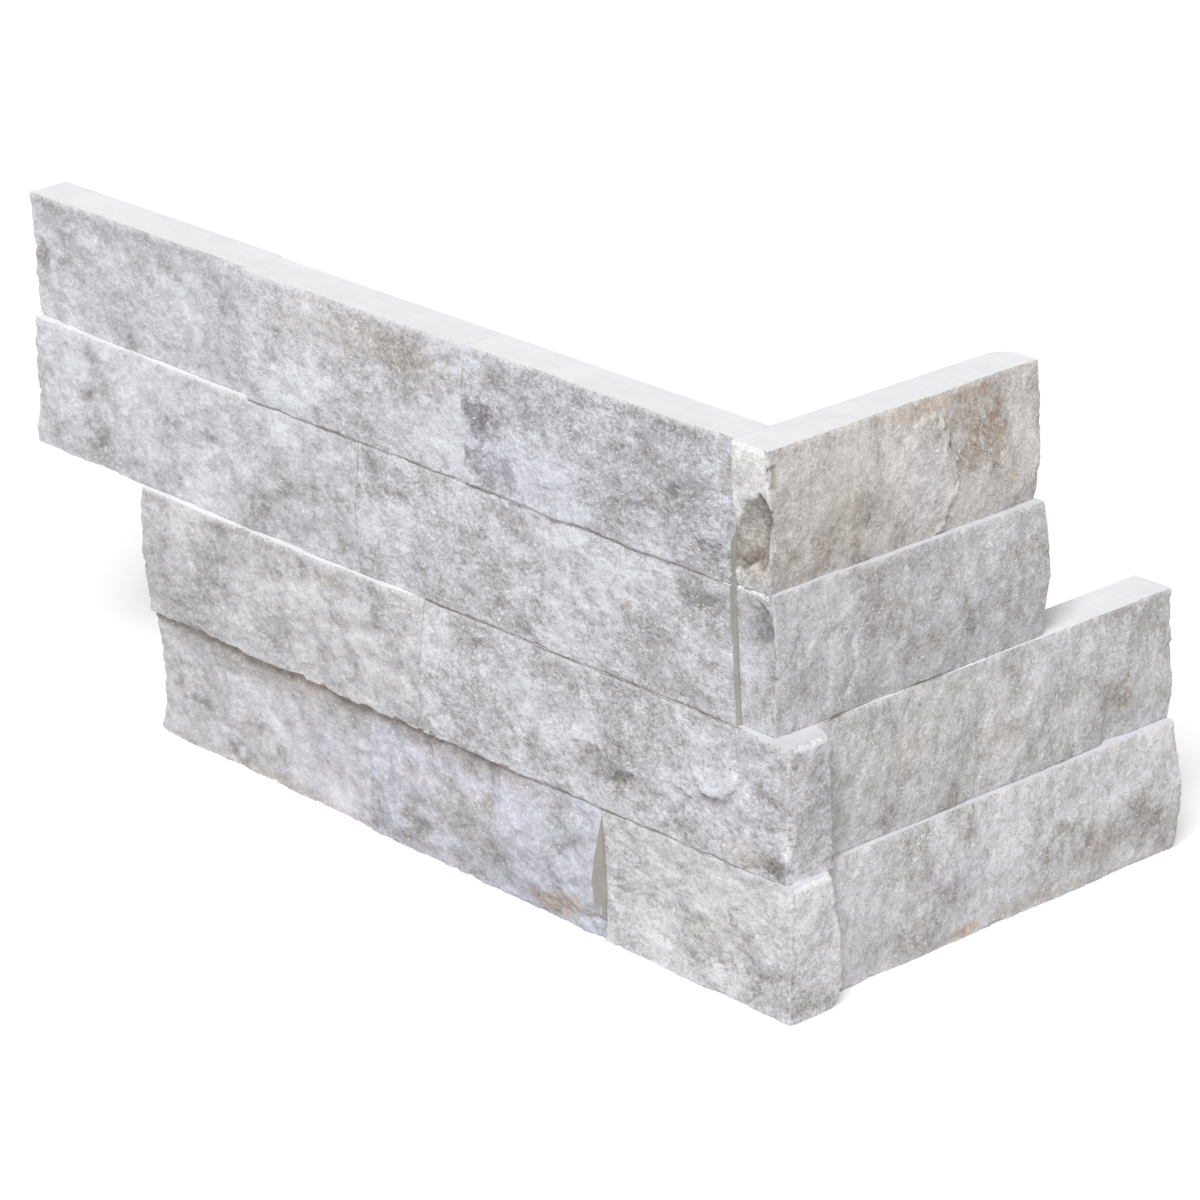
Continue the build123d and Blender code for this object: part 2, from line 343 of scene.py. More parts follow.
class Shader:
    """Small helper that adds and joins the nodes of one node tree."""

    def __init__(self, tree: bpy.types.NodeTree) -> None:
        """Keeps the tree."""
        self.tree = tree

    def add(self, kind: str, **values: object) -> bpy.types.Node:
        """Adds a node.

        Args:
            kind: the node's type.
            **values: properties of the node by name.

        Returns:
            The node.
        """
        node = self.tree.nodes.new(kind)
        for name, value in values.items():
            setattr(node, name, value)
        return node

    def join(self, source: bpy.types.NodeSocket, target: bpy.types.NodeSocket) -> None:
        """Links two sockets."""
        self.tree.links.new(source, target)

    def feed(self, node: bpy.types.Node, **inputs: object) -> bpy.types.Node:
        """Links or sets inputs of a node.

        Args:
            node: the node.
            **inputs: a socket to link or a value to set, by the input's name with _ for a space, or i and its number.

        Returns:
            The same node.
        """
        for name, value in inputs.items():
            number = name[1:]
            key = int(number) if name[0] == "i" and number.isdigit() else name.replace("_", " ")
            socket = node.inputs[key]
            if isinstance(value, bpy.types.NodeSocket):
                self.join(value, socket)
            else:
                socket.default_value = value
        return node

    def maths(self, kind: str, first: object, second: object = 0.0, clamp: bool = False) -> bpy.types.NodeSocket:
        """Adds a Math node on sockets or numbers, and gives its result."""
        node = self.add("ShaderNodeMath", operation=kind, use_clamp=clamp)
        return self.feed(node, i0=first, i1=second).outputs[0]

    def weigh(self, *terms: tuple[bpy.types.NodeSocket, float, object]) -> bpy.types.NodeSocket:
        """Adds up values about their middles.

        Args:
            *terms: a value, its middle, and its weight as a socket or a number.

        Returns:
            The sum of (value - middle) x weight.
        """
        total = None
        for value, middle, weight in terms:
            part = self.maths("MULTIPLY", self.maths("SUBTRACT", value, middle), weight)
            total = part if total is None else self.maths("ADD", total, part)
        return total

    def blend(self, share: object, first: object, second: object, kind: str = "MIX") -> bpy.types.NodeSocket:
        """Mixes two colours.

        Args:
            share: a socket or a number, 0 to 1.
            first: a socket or a colour.
            second: a socket or a colour.
            kind: the blend type.

        Returns:
            The mixed colour.
        """
        node = self.add("ShaderNodeMix", data_type="RGBA", blend_type=kind)
        self.feed(node, i0=share)
        for slot, value in ((6, first), (7, second)):
            if isinstance(value, bpy.types.NodeSocket):
                self.join(value, node.inputs[slot])
            else:
                node.inputs[slot].default_value = (*value, 1.0)
        return node.outputs[2]

    def ramp(self, value: bpy.types.NodeSocket, low: float, high: float) -> bpy.types.NodeSocket:
        """Spreads low..high of a value over 0..1, softly."""
        node = self.add("ShaderNodeMapRange", interpolation_type="SMOOTHSTEP", clamp=True)
        return self.feed(node, Value=value, From_Min=low, From_Max=high).outputs[0]

    def noise(self, vector: object, scale: float, detail: float, rough: float = 0.55) -> bpy.types.NodeSocket:
        """Adds a noise of about 0.25 to 0.75, with scale bumps to a millimetre and detail octaves."""
        node = self.add("ShaderNodeTexNoise", noise_dimensions="3D", normalize=True)
        return self.feed(node, Vector=vector, Scale=scale, Detail=detail, Roughness=rough).outputs[0]

    def cells(self, vector: object, scale: float) -> bpy.types.Node:
        """Adds a Voronoi texture, with scale cells to a millimetre."""
        node = self.add("ShaderNodeTexVoronoi", voronoi_dimensions="3D", feature="F1")
        return self.feed(node, Vector=vector, Scale=scale)

    def vector(self, kind: str, first: object, second: object) -> bpy.types.NodeSocket:
        """Adds a Vector Math node and gives its vector."""
        node = self.add("ShaderNodeVectorMath", operation=kind)
        return self.feed(node, i0=first, i1=second).outputs[0]

    def channel(self, colour: bpy.types.NodeSocket, number: int = 0) -> bpy.types.NodeSocket:
        """Takes one channel of a colour."""
        return self.feed(self.add("ShaderNodeSeparateColor"), Color=colour).outputs[number]

    def group(self, tree: bpy.types.NodeTree, **inputs: object) -> bpy.types.bpy_prop_collection:
        """Places a node group with its inputs, and gives its outputs."""
        return self.feed(self.add("ShaderNodeGroup", node_tree=tree), **inputs).outputs

    def bump(self, height: bpy.types.NodeSocket, strength: float, distance: float) -> bpy.types.NodeSocket:
        """Adds a Bump node, its distance in metres, and gives its normal."""
        return self.feed(self.add("ShaderNodeBump"), Height=height, Strength=strength, Distance=distance).outputs[0]


class GroupMaker:
    """Starts a shader node group with named sockets."""

    SOCKETS = {"vector": "NodeSocketVector", "value": "NodeSocketFloat", "colour": "NodeSocketColor"}

    def __init__(self, name: str, inputs: dict[str, tuple[str, object]], outputs: dict[str, str]) -> None:
        """Makes the group.

        Args:
            name: the group's name.
            inputs: kind and default of each input.
            outputs: kind of each output.
        """
        self.group = bpy.data.node_groups.new(name, "ShaderNodeTree")
        for label, (kind, default) in inputs.items():
            socket = self.group.interface.new_socket(label, in_out="INPUT", socket_type=self.SOCKETS[kind])
            if default is not None:
                socket.default_value = default
        for label, kind in outputs.items():
            self.group.interface.new_socket(label, in_out="OUTPUT", socket_type=self.SOCKETS[kind])
        self.make = Shader(self.group)
        self.given = self.make.add("NodeGroupInput").outputs
        self.result = self.make.add("NodeGroupOutput").inputs


def crystal_mottle_group() -> bpy.types.NodeTree:
    """Colour of split marble: clouds, dark clusters, mottling and single crystals.

    Returns:
        The node group.
    """
    maker = GroupMaker(
        "crystal_mottle",
        {
            "Vector": ("vector", None), "Drawn": ("vector", (1.0, 1.0, 1.0)),
            "Light": ("colour", (0.8, 0.8, 0.8, 1.0)), "Shade": ("colour", (0.5, 0.5, 0.5, 1.0)),
            "Cloud": ("value", 0.8), "Mottle": ("value", 1.2), "Crystal": ("value", 0.35), "Level": ("value", 0.35),
        },
        {"Color": "colour", "Shade Mask": "value"},
    )
    make, given = maker.make, maker.given
    drawn = make.vector("MULTIPLY", given["Vector"], given["Drawn"])
    # clouds of about 20 mm, clusters of 12 mm and mottling of 3 mm
    clouds = make.noise(given["Vector"], 0.045, 2.0, 0.55)
    clusters = make.ramp(make.noise(drawn, 0.085, 4.0, 0.66), 0.48, 0.74)
    mottle = make.noise(drawn, 0.30, 5.0, 0.74)
    even = make.vector("MULTIPLY", given["Vector"], CRYSTAL_SHAPE)
    crystal, sugar = (make.channel(make.cells(even, scale).outputs["Color"]) for scale in (CRYSTAL_SCALE, SUGAR_SCALE))
    total = make.weigh(
        (clouds, 0.5, given["Cloud"]), (clusters, 0.15, 0.46), (mottle, 0.5, given["Mottle"]),
        (crystal, 0.5, given["Crystal"]), (sugar, 0.5, given["Crystal"]),
    )
    share = make.maths("ADD", total, given["Level"], clamp=True)
    make.join(make.blend(share, given["Light"], given["Shade"]), maker.result["Color"])
    make.join(share, maker.result["Shade Mask"])
    return maker.group


def stain_group() -> bpy.types.NodeTree:
    """One stained patch with a ragged edge, placed by its centre and half lengths in mm.

    Returns:
        The node group.
    """
    maker = GroupMaker(
        "stain_patch",
        {
            "Vector": ("vector", None), "Base": ("colour", (1.0, 1.0, 1.0, 1.0)),
            "Tint": ("colour", (0.5, 0.4, 0.3, 1.0)), "Centre": ("vector", (0.0, 0.0, 0.0)),
            "Spread": ("vector", (10.0, 10.0, 10.0)), "Strength": ("value", 0.5), "Ragged": ("value", 0.6),
        },
        {"Color": "colour"},
    )
    make, given = maker.make, maker.given
    away = make.vector("DIVIDE", make.vector("SUBTRACT", given["Vector"], given["Centre"]), given["Spread"])
    length = make.feed(make.add("ShaderNodeVectorMath", operation="LENGTH"), i0=away)
    edge = make.maths("SUBTRACT", make.noise(given["Vector"], 0.24, 5.0, 0.72), 0.5)
    edge = make.maths("MULTIPLY", make.maths("MULTIPLY", edge, 4.0), given["Ragged"])
    reach = make.maths("ADD", length.outputs["Value"], edge)
    mask = make.maths("SUBTRACT", 1.0, make.ramp(reach, 0.35, 1.15))
    speck = make.ramp(make.noise(given["Vector"], 0.75, 3.0, 0.6), 0.30, 0.62)
    mask = make.maths("MULTIPLY", mask, make.maths("ADD", make.maths("MULTIPLY", speck, 0.6), 0.4))
    mask = make.maths("MULTIPLY", mask, make.maths("MULTIPLY", given["Strength"], 1.15), clamp=True)
    make.join(make.blend(mask, given["Base"], given["Tint"], "MULTIPLY"), maker.result["Color"])
    return maker.group


def sparkle_group() -> bpy.types.NodeTree:
    """Picks out the few crystals whose cleavage flashes, for a painted white glint.

    Returns:
        The node group.
    """
    maker = GroupMaker(
        "crystal_glint_painted",
        {"Vector": ("vector", None), "Share": ("value", 0.03)},
        {"Mask": "value"},
    )
    make, given = maker.make, maker.given
    cell = make.cells(make.vector("MULTIPLY", given["Vector"], CRYSTAL_SHAPE), SUGAR_SCALE)
    chosen = make.maths("GREATER_THAN", given["Share"], make.channel(cell.outputs["Color"], 1))
    core = make.maths("SUBTRACT", 1.0, make.ramp(cell.outputs["Distance"], 0.26, 0.52))
    make.join(make.maths("MULTIPLY", chosen, core), maker.result["Mask"])
    return maker.group


def stone_grain_group() -> bpy.types.NodeTree:
    """Height of the finest crystal grain, below what the mesh carries.

    Returns:
        The node group.
    """
    maker = GroupMaker("stone_grain", {"Vector": ("vector", None)}, {"Height": "value"})
    make, given = maker.make, maker.given
    sugar = make.cells(given["Vector"], 1.7).outputs["Distance"]
    fine = make.noise(given["Vector"], 2.6, 3.0, 0.65)
    make.join(make.weigh((fine, 0.0, 1.2), (sugar, 0.0, -0.7)), maker.result["Height"])
    return maker.group


def saw_mark_group() -> bpy.types.NodeTree:
    """Faint long streaks that the saw leaves, as a tint and a height.

    Returns:
        The node group.
    """
    maker = GroupMaker(
        "saw_marks",
        {"Vector": ("vector", None), "Stretch": ("vector", (0.03, 0.8, 0.8))},
        {"Tint": "value", "Height": "value"},
    )
    make, given = maker.make, maker.given
    streaks = make.noise(make.vector("MULTIPLY", given["Vector"], given["Stretch"]), 1.0, 3.0, 0.6)
    smudge = make.noise(given["Vector"], 0.09, 4.0, 0.6)
    grain = make.noise(given["Vector"], 1.6, 2.0, 0.5)
    make.join(make.ramp(make.weigh((streaks, 0.0, 0.45), (smudge, 0.0, 0.55)), 0.34, 0.68), maker.result["Tint"])
    make.join(make.weigh((streaks, 0.0, 0.6), (grain, 0.0, 0.4)), maker.result["Height"])
    return maker.group


class Groups:
    """The shared node groups, each built once."""

    def __init__(self) -> None:
        """Builds the groups."""
        self.mottle = crystal_mottle_group()
        self.stain = stain_group()
        self.sparkle = sparkle_group()
        self.grain = stone_grain_group()
        self.saw = saw_mark_group()


def object_millimetres(make: Shader) -> bpy.types.NodeSocket:
    """Adds the object's own coordinates, scaled to millimetres."""
    return make.vector("MULTIPLY", make.add("ShaderNodeTexCoord").outputs["Object"], (METRE, METRE, METRE))


def start_material(name: str) -> tuple[bpy.types.Material, Shader, bpy.types.NodeInputs]:
    """Starts a material.

    Args:
        name: its name.

    Returns:
        The material, the helper for its nodes, and the inputs of its shader.
    """
    material = bpy.data.materials.new(name)
    material.use_nodes = True
    return material, Shader(material.node_tree), material.node_tree.nodes["Principled BSDF"].inputs


@dataclass(frozen=True)
class Stain:
    """A patch of other colour on a face, in mm of the frame. A tint above 1 lightens."""

    centre: Pair  # along the leg and height
    half: Pair
    tint: Colour
    strength: float = 0.6
    ragged: float = 0.5
    on_end: bool = False  # on the exposed end: the centre's first number runs across the end
    off_wall: float = 14.0  # how far off the wall the centre lies
    depth: float = 60.0  # how far the patch reaches into the stone

    def box(self, side: Side) -> tuple[Triple, Triple]:
        """Centre and half lengths in the frame.

        Args:
            side: the side that the strip's split face looks to.

        Returns:
            The centre and the half lengths.
        """
        (along, level), (long, tall) = self.centre, self.half
        if (side is Side.FRONT) != self.on_end:
            return (along, -self.off_wall, level), (long, self.depth, tall)
        return (self.off_wall, along, level), (self.depth, long, tall)


@dataclass(frozen=True)
class SplitFinish:
    """Colours of one strip's split face."""

    light: Colour
    shade: Colour
    cloud: float = 1.1  # how strong the clouds, the mottling and the crystals are
    mottle: float = 1.5
    crystal: float = 0.30
    level: float = 0.36  # how much of the face is in shade
    sparkle: float = 0.045  # share of the crystals that flash
    drawn: Triple = (0.78, 1.0, 1.05)  # below 1, the mottling is drawn out along that axis
    end_tint: Colour = (1.0, 1.0, 1.0)  # tint of the exposed end
    matt: float = 0.74  # roughness of the stone
    gloss: float = 0.25  # roughness of a flashing crystal
    specular: float = 0.42
    bump: Pair = (0.6, 0.0003)  # strength, and depth in metres

    def material(self, name: str, side: Side, stains: tuple[Stain, ...], groups: Groups) -> bpy.types.Material:
        """Builds the finish.

        Args:
            name: the material's name.
            side: the side that the face looks to.
            stains: the patches of other colour.
            groups: the shared node groups.

        Returns:
            The material.
        """
        material, make, shader = start_material(name)
        place = object_millimetres(make)
        colour = make.group(
            groups.mottle, Vector=place, Drawn=self.drawn, Light=(*self.light, 1.0), Shade=(*self.shade, 1.0),
            Cloud=self.cloud, Mottle=self.mottle, Crystal=self.crystal, Level=self.level,
        )["Color"]
        for stain in stains:
            centre, spread = stain.box(side)
            colour = make.group(
                groups.stain, Vector=place, Base=colour, Tint=(*stain.tint, 1.0), Centre=centre, Spread=spread,
                Strength=stain.strength, Ragged=stain.ragged,
            )["Color"]
        hollow_grime_and_shade, worn, joint, lee_shadow, end, pit = (
            self.mark(make, label) for label in ("hollow_grime_and_shade", "arris", "joint", "lee_shadow", "end", "pit")
        )
        colour = make.blend(end, colour, self.end_tint, "MULTIPLY")
        crumbs = make.ramp(make.noise(place, 0.9, 3.0, 0.6), 0.32, 0.62)
        # grime and painted shade in the relief's hollows
        colour = make.blend(make.maths("MULTIPLY", hollow_grime_and_shade, 0.60), colour, HOLLOW_GRIME_AND_SHADE, "MULTIPLY")
        # painted highlight along the worn arrises, broken up by the crumbs noise
        colour = make.blend(make.maths("MULTIPLY", worn, crumbs), colour, ARRIS_HIGHLIGHT)
        # grime and painted shade on the flakes' floors, broken up by the crumbs noise
        stained = make.maths("ADD", make.maths("MULTIPLY", crumbs, 0.45), 0.55)
        colour = make.blend(make.maths("MULTIPLY", pit, stained), colour, PIT_GRIME_AND_SHADE, "MULTIPLY")
        # painted shadow under the overhang of the course above
        colour = make.blend(lee_shadow, colour, LEE_SHADOW, "MULTIPLY")
        # painted glints: a few crystals coloured near white, with a lower roughness
        glint = make.group(groups.sparkle, Vector=place, Share=self.sparkle)["Mask"]
        glint = make.maths("MULTIPLY", glint, make.maths("SUBTRACT", 1.0, pit, True))
        colour = make.blend(glint, colour, PAINTED_GLINT)
        # joint lines: glue, with painted shade in the gap
        make.join(make.blend(joint, colour, GLUE_AND_GAP_SHADE), shader["Base Color"])
        matt = make.feed(make.add("ShaderNodeMapRange"), Value=glint, To_Min=self.matt, To_Max=self.gloss)
        make.join(matt.outputs[0], shader["Roughness"])
        grain = make.group(groups.grain, Vector=place)["Height"]
        make.join(make.bump(grain, *self.bump), shader["Normal"])
        shader["Specular IOR Level"].default_value = self.specular
        return material

    @staticmethod
    def mark(make: Shader, label: str) -> bpy.types.NodeSocket:
        """Reads one of the values kept on the face's points."""
        return make.add("ShaderNodeAttribute", attribute_name=label).outputs["Fac"]


@dataclass(frozen=True)
class SawnFinish:
    """Colours of sawn beds, backs and ends."""

    name: str
    light: Colour
    smudge: Colour
    stretch: Triple = (0.03, 0.9, 0.9)  # streaks to a millimetre along each axis
    roughness: float = 0.62
    specular: float = 0.4
    bump: Pair = (0.3, 0.0001)  # strength, and depth in metres

    def material(self, groups: Groups) -> bpy.types.Material:
        """Builds the finish.

        Args:
            groups: the shared node groups.

        Returns:
            The material.
        """
        material, make, shader = start_material(self.name)
        marks = make.group(groups.saw, Vector=object_millimetres(make), Stretch=self.stretch)
        make.join(make.blend(marks["Tint"], self.light, self.smudge), shader["Base Color"])
        make.join(make.bump(marks["Height"], *self.bump), shader["Normal"])
        shader["Roughness"].default_value = self.roughness
        shader["Specular IOR Level"].default_value = self.specular
        return material


# Strips


@lru_cache(maxsize=None)
def surface(node: str) -> BVHTree:
    """Surface of a CAD node, in mm, to cast rays on.

    Args:
        node: the CAD node.

    Returns:
        The surface.
    """
    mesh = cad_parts[node].data
    points = [vertex.co * METRE for vertex in mesh.vertices]
    return BVHTree.FromPolygons(points, [face.vertices[:] for face in mesh.polygons])


def cast_ray(node: str, place: Pair, inward: Pair, level: float) -> Vector | None:
    """Where a level ray meets a CAD node from outside, through a place in plan and along its way inward."""
    way = Vector((*inward, 0.0))
    return surface(node).ray_cast(Vector((*place, level)) - way * RAYS_FROM, way)[0]


def stand_off(side: Side, nodes: tuple[str, ...], along: float, level: float) -> float:
    """How far the nearest split face of some strips stands off the wall.

    Args:
        side: the leg.
        nodes: the strips.
        along: place along the leg.
        level: height.

    Returns:
        The distance off the wall, 0 where no strip is met.
    """
    found = 0.0
    for node in nodes:
        place = (along, 0.0) if side is Side.FRONT else (0.0, along)
        hit = cast_ray(node, place, side.inward, level)
        if hit:
            found = max(found, -hit.y if side is Side.FRONT else hit.x)
    return found


def blur(values: np.ndarray, radius: int) -> np.ndarray:
    """Averages a grid over a square window.

    Args:
        values: the grid.
        radius: cells on each side.

    Returns:
        The averaged grid.
    """
    for axis in (0, 1):
        padding = [(0, 0)] * values.ndim
        padding[axis] = (radius + 1, radius)
        total = np.cumsum(np.pad(values, padding, mode="edge"), axis=axis)
        count = values.shape[axis]
        ahead = np.take(total, range(2 * radius + 1, 2 * radius + 1 + count), axis=axis)
        behind = np.take(total, range(count), axis=axis)
        values = (ahead - behind) / (2 * radius + 1)
    return values


def soften(points: np.ndarray, columns: float, rows: float) -> np.ndarray:
    """Takes the hard creases off a grid of points, keeping their heights.

    Args:
        points: columns by rows by 3.
        columns: standard deviation along the face, in columns.
        rows: standard deviation up the face, in rows.

    Returns:
        The softened points.
    """
    plan = points[:, :, :2]
    for axis, sigma in ((0, columns), (1, rows)):
        reach = int(math.ceil(3 * sigma))
        weights = np.exp(-0.5 * (np.arange(-reach, reach + 1) / sigma) ** 2)
        weights /= weights.sum()
        padding = [(0, 0)] * 3
        padding[axis] = (reach, reach)
        padded = np.pad(plan, padding, mode="reflect", reflect_type="odd")
        count = plan.shape[axis]
        plan = sum(
            weight * np.take(padded, range(step, step + count), axis=axis) for step, weight in enumerate(weights)
        )
    result = points.copy()
    result[:, :, :2] = plan
    return result


@dataclass
class Columns:
    """Columns round a strip's split face: where their rays pass, row by row, and which way."""

    through: list[np.ndarray] = field(default_factory=list)  # rows by 2
    inward: list[Pair] = field(default_factory=list)
    rough: list[float] = field(default_factory=list)  # share of the relief, 0 on sawn sides
    face: int = 0  # columns of the split face itself

    def run(self, start: np.ndarray, stop: np.ndarray, inward: Pair, rough: float, spacing: float) -> None:
        """Adds evenly spaced columns from start to stop.

        Args:
            start: the first column in plan, rows by 2.
            stop: the last column in plan.
            inward: the way into the stone.
            rough: share of the split relief.
            spacing: distance between columns, about.
        """
        length = float(np.linalg.norm(stop - start, axis=1).mean())
        for share in np.linspace(0.0, 1.0, max(2, round(length / spacing) + 1)):
            self.through.append(start + (stop - start) * share)
            self.inward.append(inward)
            self.rough.append(rough)

    def fan(self, pivot: np.ndarray, ways: tuple[Pair, Pair], rough: Pair, steps: int) -> None:
        """Turns the columns round the upright arris, evenly spaced on both faces.

        Args:
            pivot: point inside the stone that the rays of the turn run to, rows by 2.
            ways: the way into the stone before the turn and after it.
            rough: share of the relief before and after the turn.
            steps: columns on each side of the arris.
        """
        first, last = ways
        for step in range(1, 2 * steps):
            share = step / steps if step <= steps else 2.0 - step / steps
            turn = math.atan(share) if step <= steps else 0.5 * math.pi - math.atan(share)
            cos, sin = math.cos(turn), math.sin(turn)
            self.through.append(pivot)
            self.inward.append((first[0] * cos + last[0] * sin, first[1] * cos + last[1] * sin))
            self.rough.append(rough[0] + (rough[1] - rough[0]) * (step / (2 * steps)))


@dataclass
class Face:
    """The CAD surface under a strip's split face and exposed end, and where its points lie, in mm."""

    base: np.ndarray  # points, columns by rows by 3
    inward: np.ndarray  # the way into the stone, one a column
    rough: np.ndarray  # share of the split relief, one a column
    on_face: np.ndarray  # whether a column is on the split face
    grid: np.ndarray  # place of every point along the leg
    level: np.ndarray  # height of every point
    past: np.ndarray  # how far a point lies past the upright arris

    def __post_init__(self) -> None:
        """Works out every point's distance from the two long arrises and the upright one."""
        self.foot_gap = self.level - self.level[0, 0]
        self.rise = self.level[0, -1] - self.level[0, 0]
        self.top_gap = self.rise - self.foot_gap
        self.corner_gap = np.abs(self.past)
        self.flat = np.zeros_like(self.grid)


@dataclass(frozen=True)
class Wear:
    """How a strip's arrises are worn, and how the marks on them fade. Reaches are in mm."""

    corner_calm: Pair = (0.15, 4.5)  # relief left at the upright arris, and how far the calm reaches
    end_calm: Pair = (0.4, 3.0)  # the same at the split face's ends
    least: float = 0.3  # chips left where a column carries no relief
    free_foot: float = 1.3  # chips of a foot over nothing, against those of the upper arris
    met_foot: float = 0.5  # chips of a foot on another course
    open_end: float = 1.1  # chips of the leg's open end
    corner: float = 1.3  # chips of the upright arris
    end_rim: Pair = (0.9, 1.3)  # how far the exposed end's top is rounded off, and its reach
    flush_reach: float = 26.0  # stretch that is worn flush with the next strip
    flush_probe: float = 0.4  # how far past the joint the next strip is felt
    flush_inset: float = 0.05  # how far behind its face this one ends
    bite: Pair = (3.6, 9.0)  # size of the nibbles in an overhanging foot
    bite_rise: float = 3.0  # how high up the face they reach
    hollow_windows: tuple[int, int] = (1, 9)  # cells over which the relief and its surroundings are averaged to find the hollows
    hollow_depth: float = 0.55  # relief depth at which the hollows' grime and painted shade are darkest
    white_reach: float = 2.0  # width of the painted highlight on the worn upper arris
    lee_reach: Pair = (2.2, 1.3)  # shade under an overhang: its least height, and its growth with the overhang


@dataclass
class Strip:
    """One strip of the panel, rebuilt over its CAD node as one closed stone."""

    node: str
    side: Side
    relief: Relief
    finish: SplitFinish
    flakes: tuple[Flake, ...] = ()
    stains: tuple[Stain, ...] = ()
    seams: Pair = (0.0, 0.0)  # how dark the butt joints at the first and last column are
    lines: Pair = (1.0, 1.0)  # how dark the joints at the foot and at the top are
    edge: float = 0.85  # how strong the painted highlight on the worn upper arris is
    end_rough: float | None = None  # relief share of the exposed end, None where the end meets a neighbour
    meets: str = ""  # strip that the last column of the face is worn flush with
    scallop: float = 0.0  # how far the foot's overhanging edge is nibbled upwards
    top: Skin = Skin.SAWN  # finish of the upper bed
    open_end: bool = False  # the leg ends with this strip, so its upright arris is ragged
    back_radius: float = 0.0  # rounding of the first sawn corner after the face
    above: tuple[str, ...] = ()  # strips of the course above
    below: tuple[str, ...] = ()  # strips of the course below
    wear: Wear = Wear()
    spacing: float = 0.45  # between columns and between rows of the face
    sawn_spacing: float = 7.0  # between columns of the sawn sides
    fan_depth: float = 4.5  # how deep in the stone the upright arris's rays meet
    inset: float = 0.02  # how far inside the strip its outermost rays pass
    end_ray: float = 8.0  # how far off the wall the exposed end is felt
    creases: Pair = (2.0, 1.6)  # how widely the CAD facets' creases are smoothed, in columns and rows
    joint_gap: float = 0.06  # hairline that a strip keeps off its neighbour
    arris_rows: float = 0.2  # distance of the first and last rows from the long arrises
    sharp: float = 50.0  # degrees between faces from which an edge is drawn sharp

    def __post_init__(self) -> None:
        """Reads the CAD node's box, mm, and sets the heights of the rows, closer together beside the arrises."""
        low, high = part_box(self.node)
        self.low, self.high = np.array(low) * METRE, np.array(high) * METRE
        self.wraps = self.end_rough is not None
        self.front = self.side is Side.FRONT
        self.fan_steps = round(self.fan_depth / self.spacing)
        foot, head = self.low[2], self.high[2]
        middle = np.linspace(foot + self.spacing, head - self.spacing, round((head - foot) / self.spacing) - 1)
        self.heights = np.concatenate([[foot, foot + self.arris_rows], middle, [head - self.arris_rows, head]])

    def levels(self, inset: float) -> np.ndarray:
        """Heights of the rows, kept a little inside the strip for the rays."""
        return np.clip(self.heights, self.heights[0] + inset, self.heights[-1] - inset)

    def arris(self) -> np.ndarray:
        """Finds the upright arris between the split face and the exposed end, without the breaks in it.

        Returns:
            The arris in plan, rows by 2.
        """
        corner, way = np.zeros((len(self.heights), 2)), self.side.inward
        reaches = (5.0, 9.0) if self.front else (4.0, 8.0)  # distances from the end at which the face is felt
        beyond = reaches[0] / (reaches[1] - reaches[0])
        for row, level in enumerate(self.levels(RAY_INSET)):
            if self.front:
                end = cast_ray(self.node, (0.0, -self.end_ray), self.side.end_inward, level).x
                near, far = (cast_ray(self.node, (end - reach, 0.0), way, level).y for reach in reaches)
                corner[row] = (end, near + (near - far) * beyond)
            else:
                end = self.low[1]
                near, far = (cast_ray(self.node, (0.0, end + reach), way, level).x for reach in reaches)
                corner[row] = (near + (near - far) * beyond, end)
        return corner

    def columns(self) -> Columns:
        """Lays the columns over the split face, and round the exposed end where there is one.

        Returns:
            The columns, anticlockwise from above.
        """
        plan, front_in, end_in = Columns(), self.side.inward, self.side.end_inward
        pivot = self.arris() + (-self.fan_depth, self.fan_depth) if self.wraps else None
        x0, y0, x1, y1 = (*(self.low[:2] + self.inset), *(self.high[:2] - self.inset))
        if self.front:
            stop = self.plan_line(pivot[:, 0] if self.wraps else x1, 0.0)
            plan.run(self.plan_line(x0, 0.0), stop, front_in, 1.0, self.spacing)
            plan.face = len(plan.rough)
            if self.wraps:
                plan.fan(pivot, (front_in, end_in), (1.0, self.end_rough), self.fan_steps)
                start, stop = self.plan_line(0.0, pivot[:, 1]), self.plan_line(0.0, -self.inset)
                plan.run(start, stop, end_in, self.end_rough, self.spacing)
        else:
            if self.wraps:
                start, stop = self.plan_line(self.inset, 0.0), self.plan_line(pivot[:, 0], 0.0)
                plan.run(start, stop, end_in, self.end_rough, self.spacing)
                plan.fan(pivot, (end_in, front_in), (self.end_rough, 1.0), self.fan_steps)
            before = len(plan.rough)
            start = self.plan_line(0.0, pivot[:, 1] if self.wraps else y0)
            plan.run(start, self.plan_line(0.0, y1), front_in, 1.0, self.spacing)
            plan.face = len(plan.rough) - before
        return plan

    def plan_line(self, x: float | np.ndarray, y: float | np.ndarray) -> np.ndarray:
        """Places a column in plan, row by row, from its x and y or from one of each a row."""
        ones = np.ones(len(self.heights))
        return np.stack((ones * x, ones * y), axis=-1)

    def cast(self, plan: Columns) -> np.ndarray:
        """Finds the CAD solid's surface on every column.

        Args:
            plan: the columns.

        Returns:
            Points, columns by rows by 3.
        """
        points = np.zeros((len(plan.through), len(self.heights), 3))
        missed = 0
        for column, (through, inward) in enumerate(zip(plan.through, plan.inward)):
            for row, level in enumerate(self.levels(RAY_INSET)):
                hit = cast_ray(self.node, tuple(through[row]), inward, level)
                if hit is None:
                    missed += 1
                    hit = Vector((*points[column - 1, row, :2], level))
                points[column, row] = (hit.x, hit.y, self.heights[row])
        if missed:
            LOG.warning("%s: %d rays missed the solid", self.node, missed)
        return points

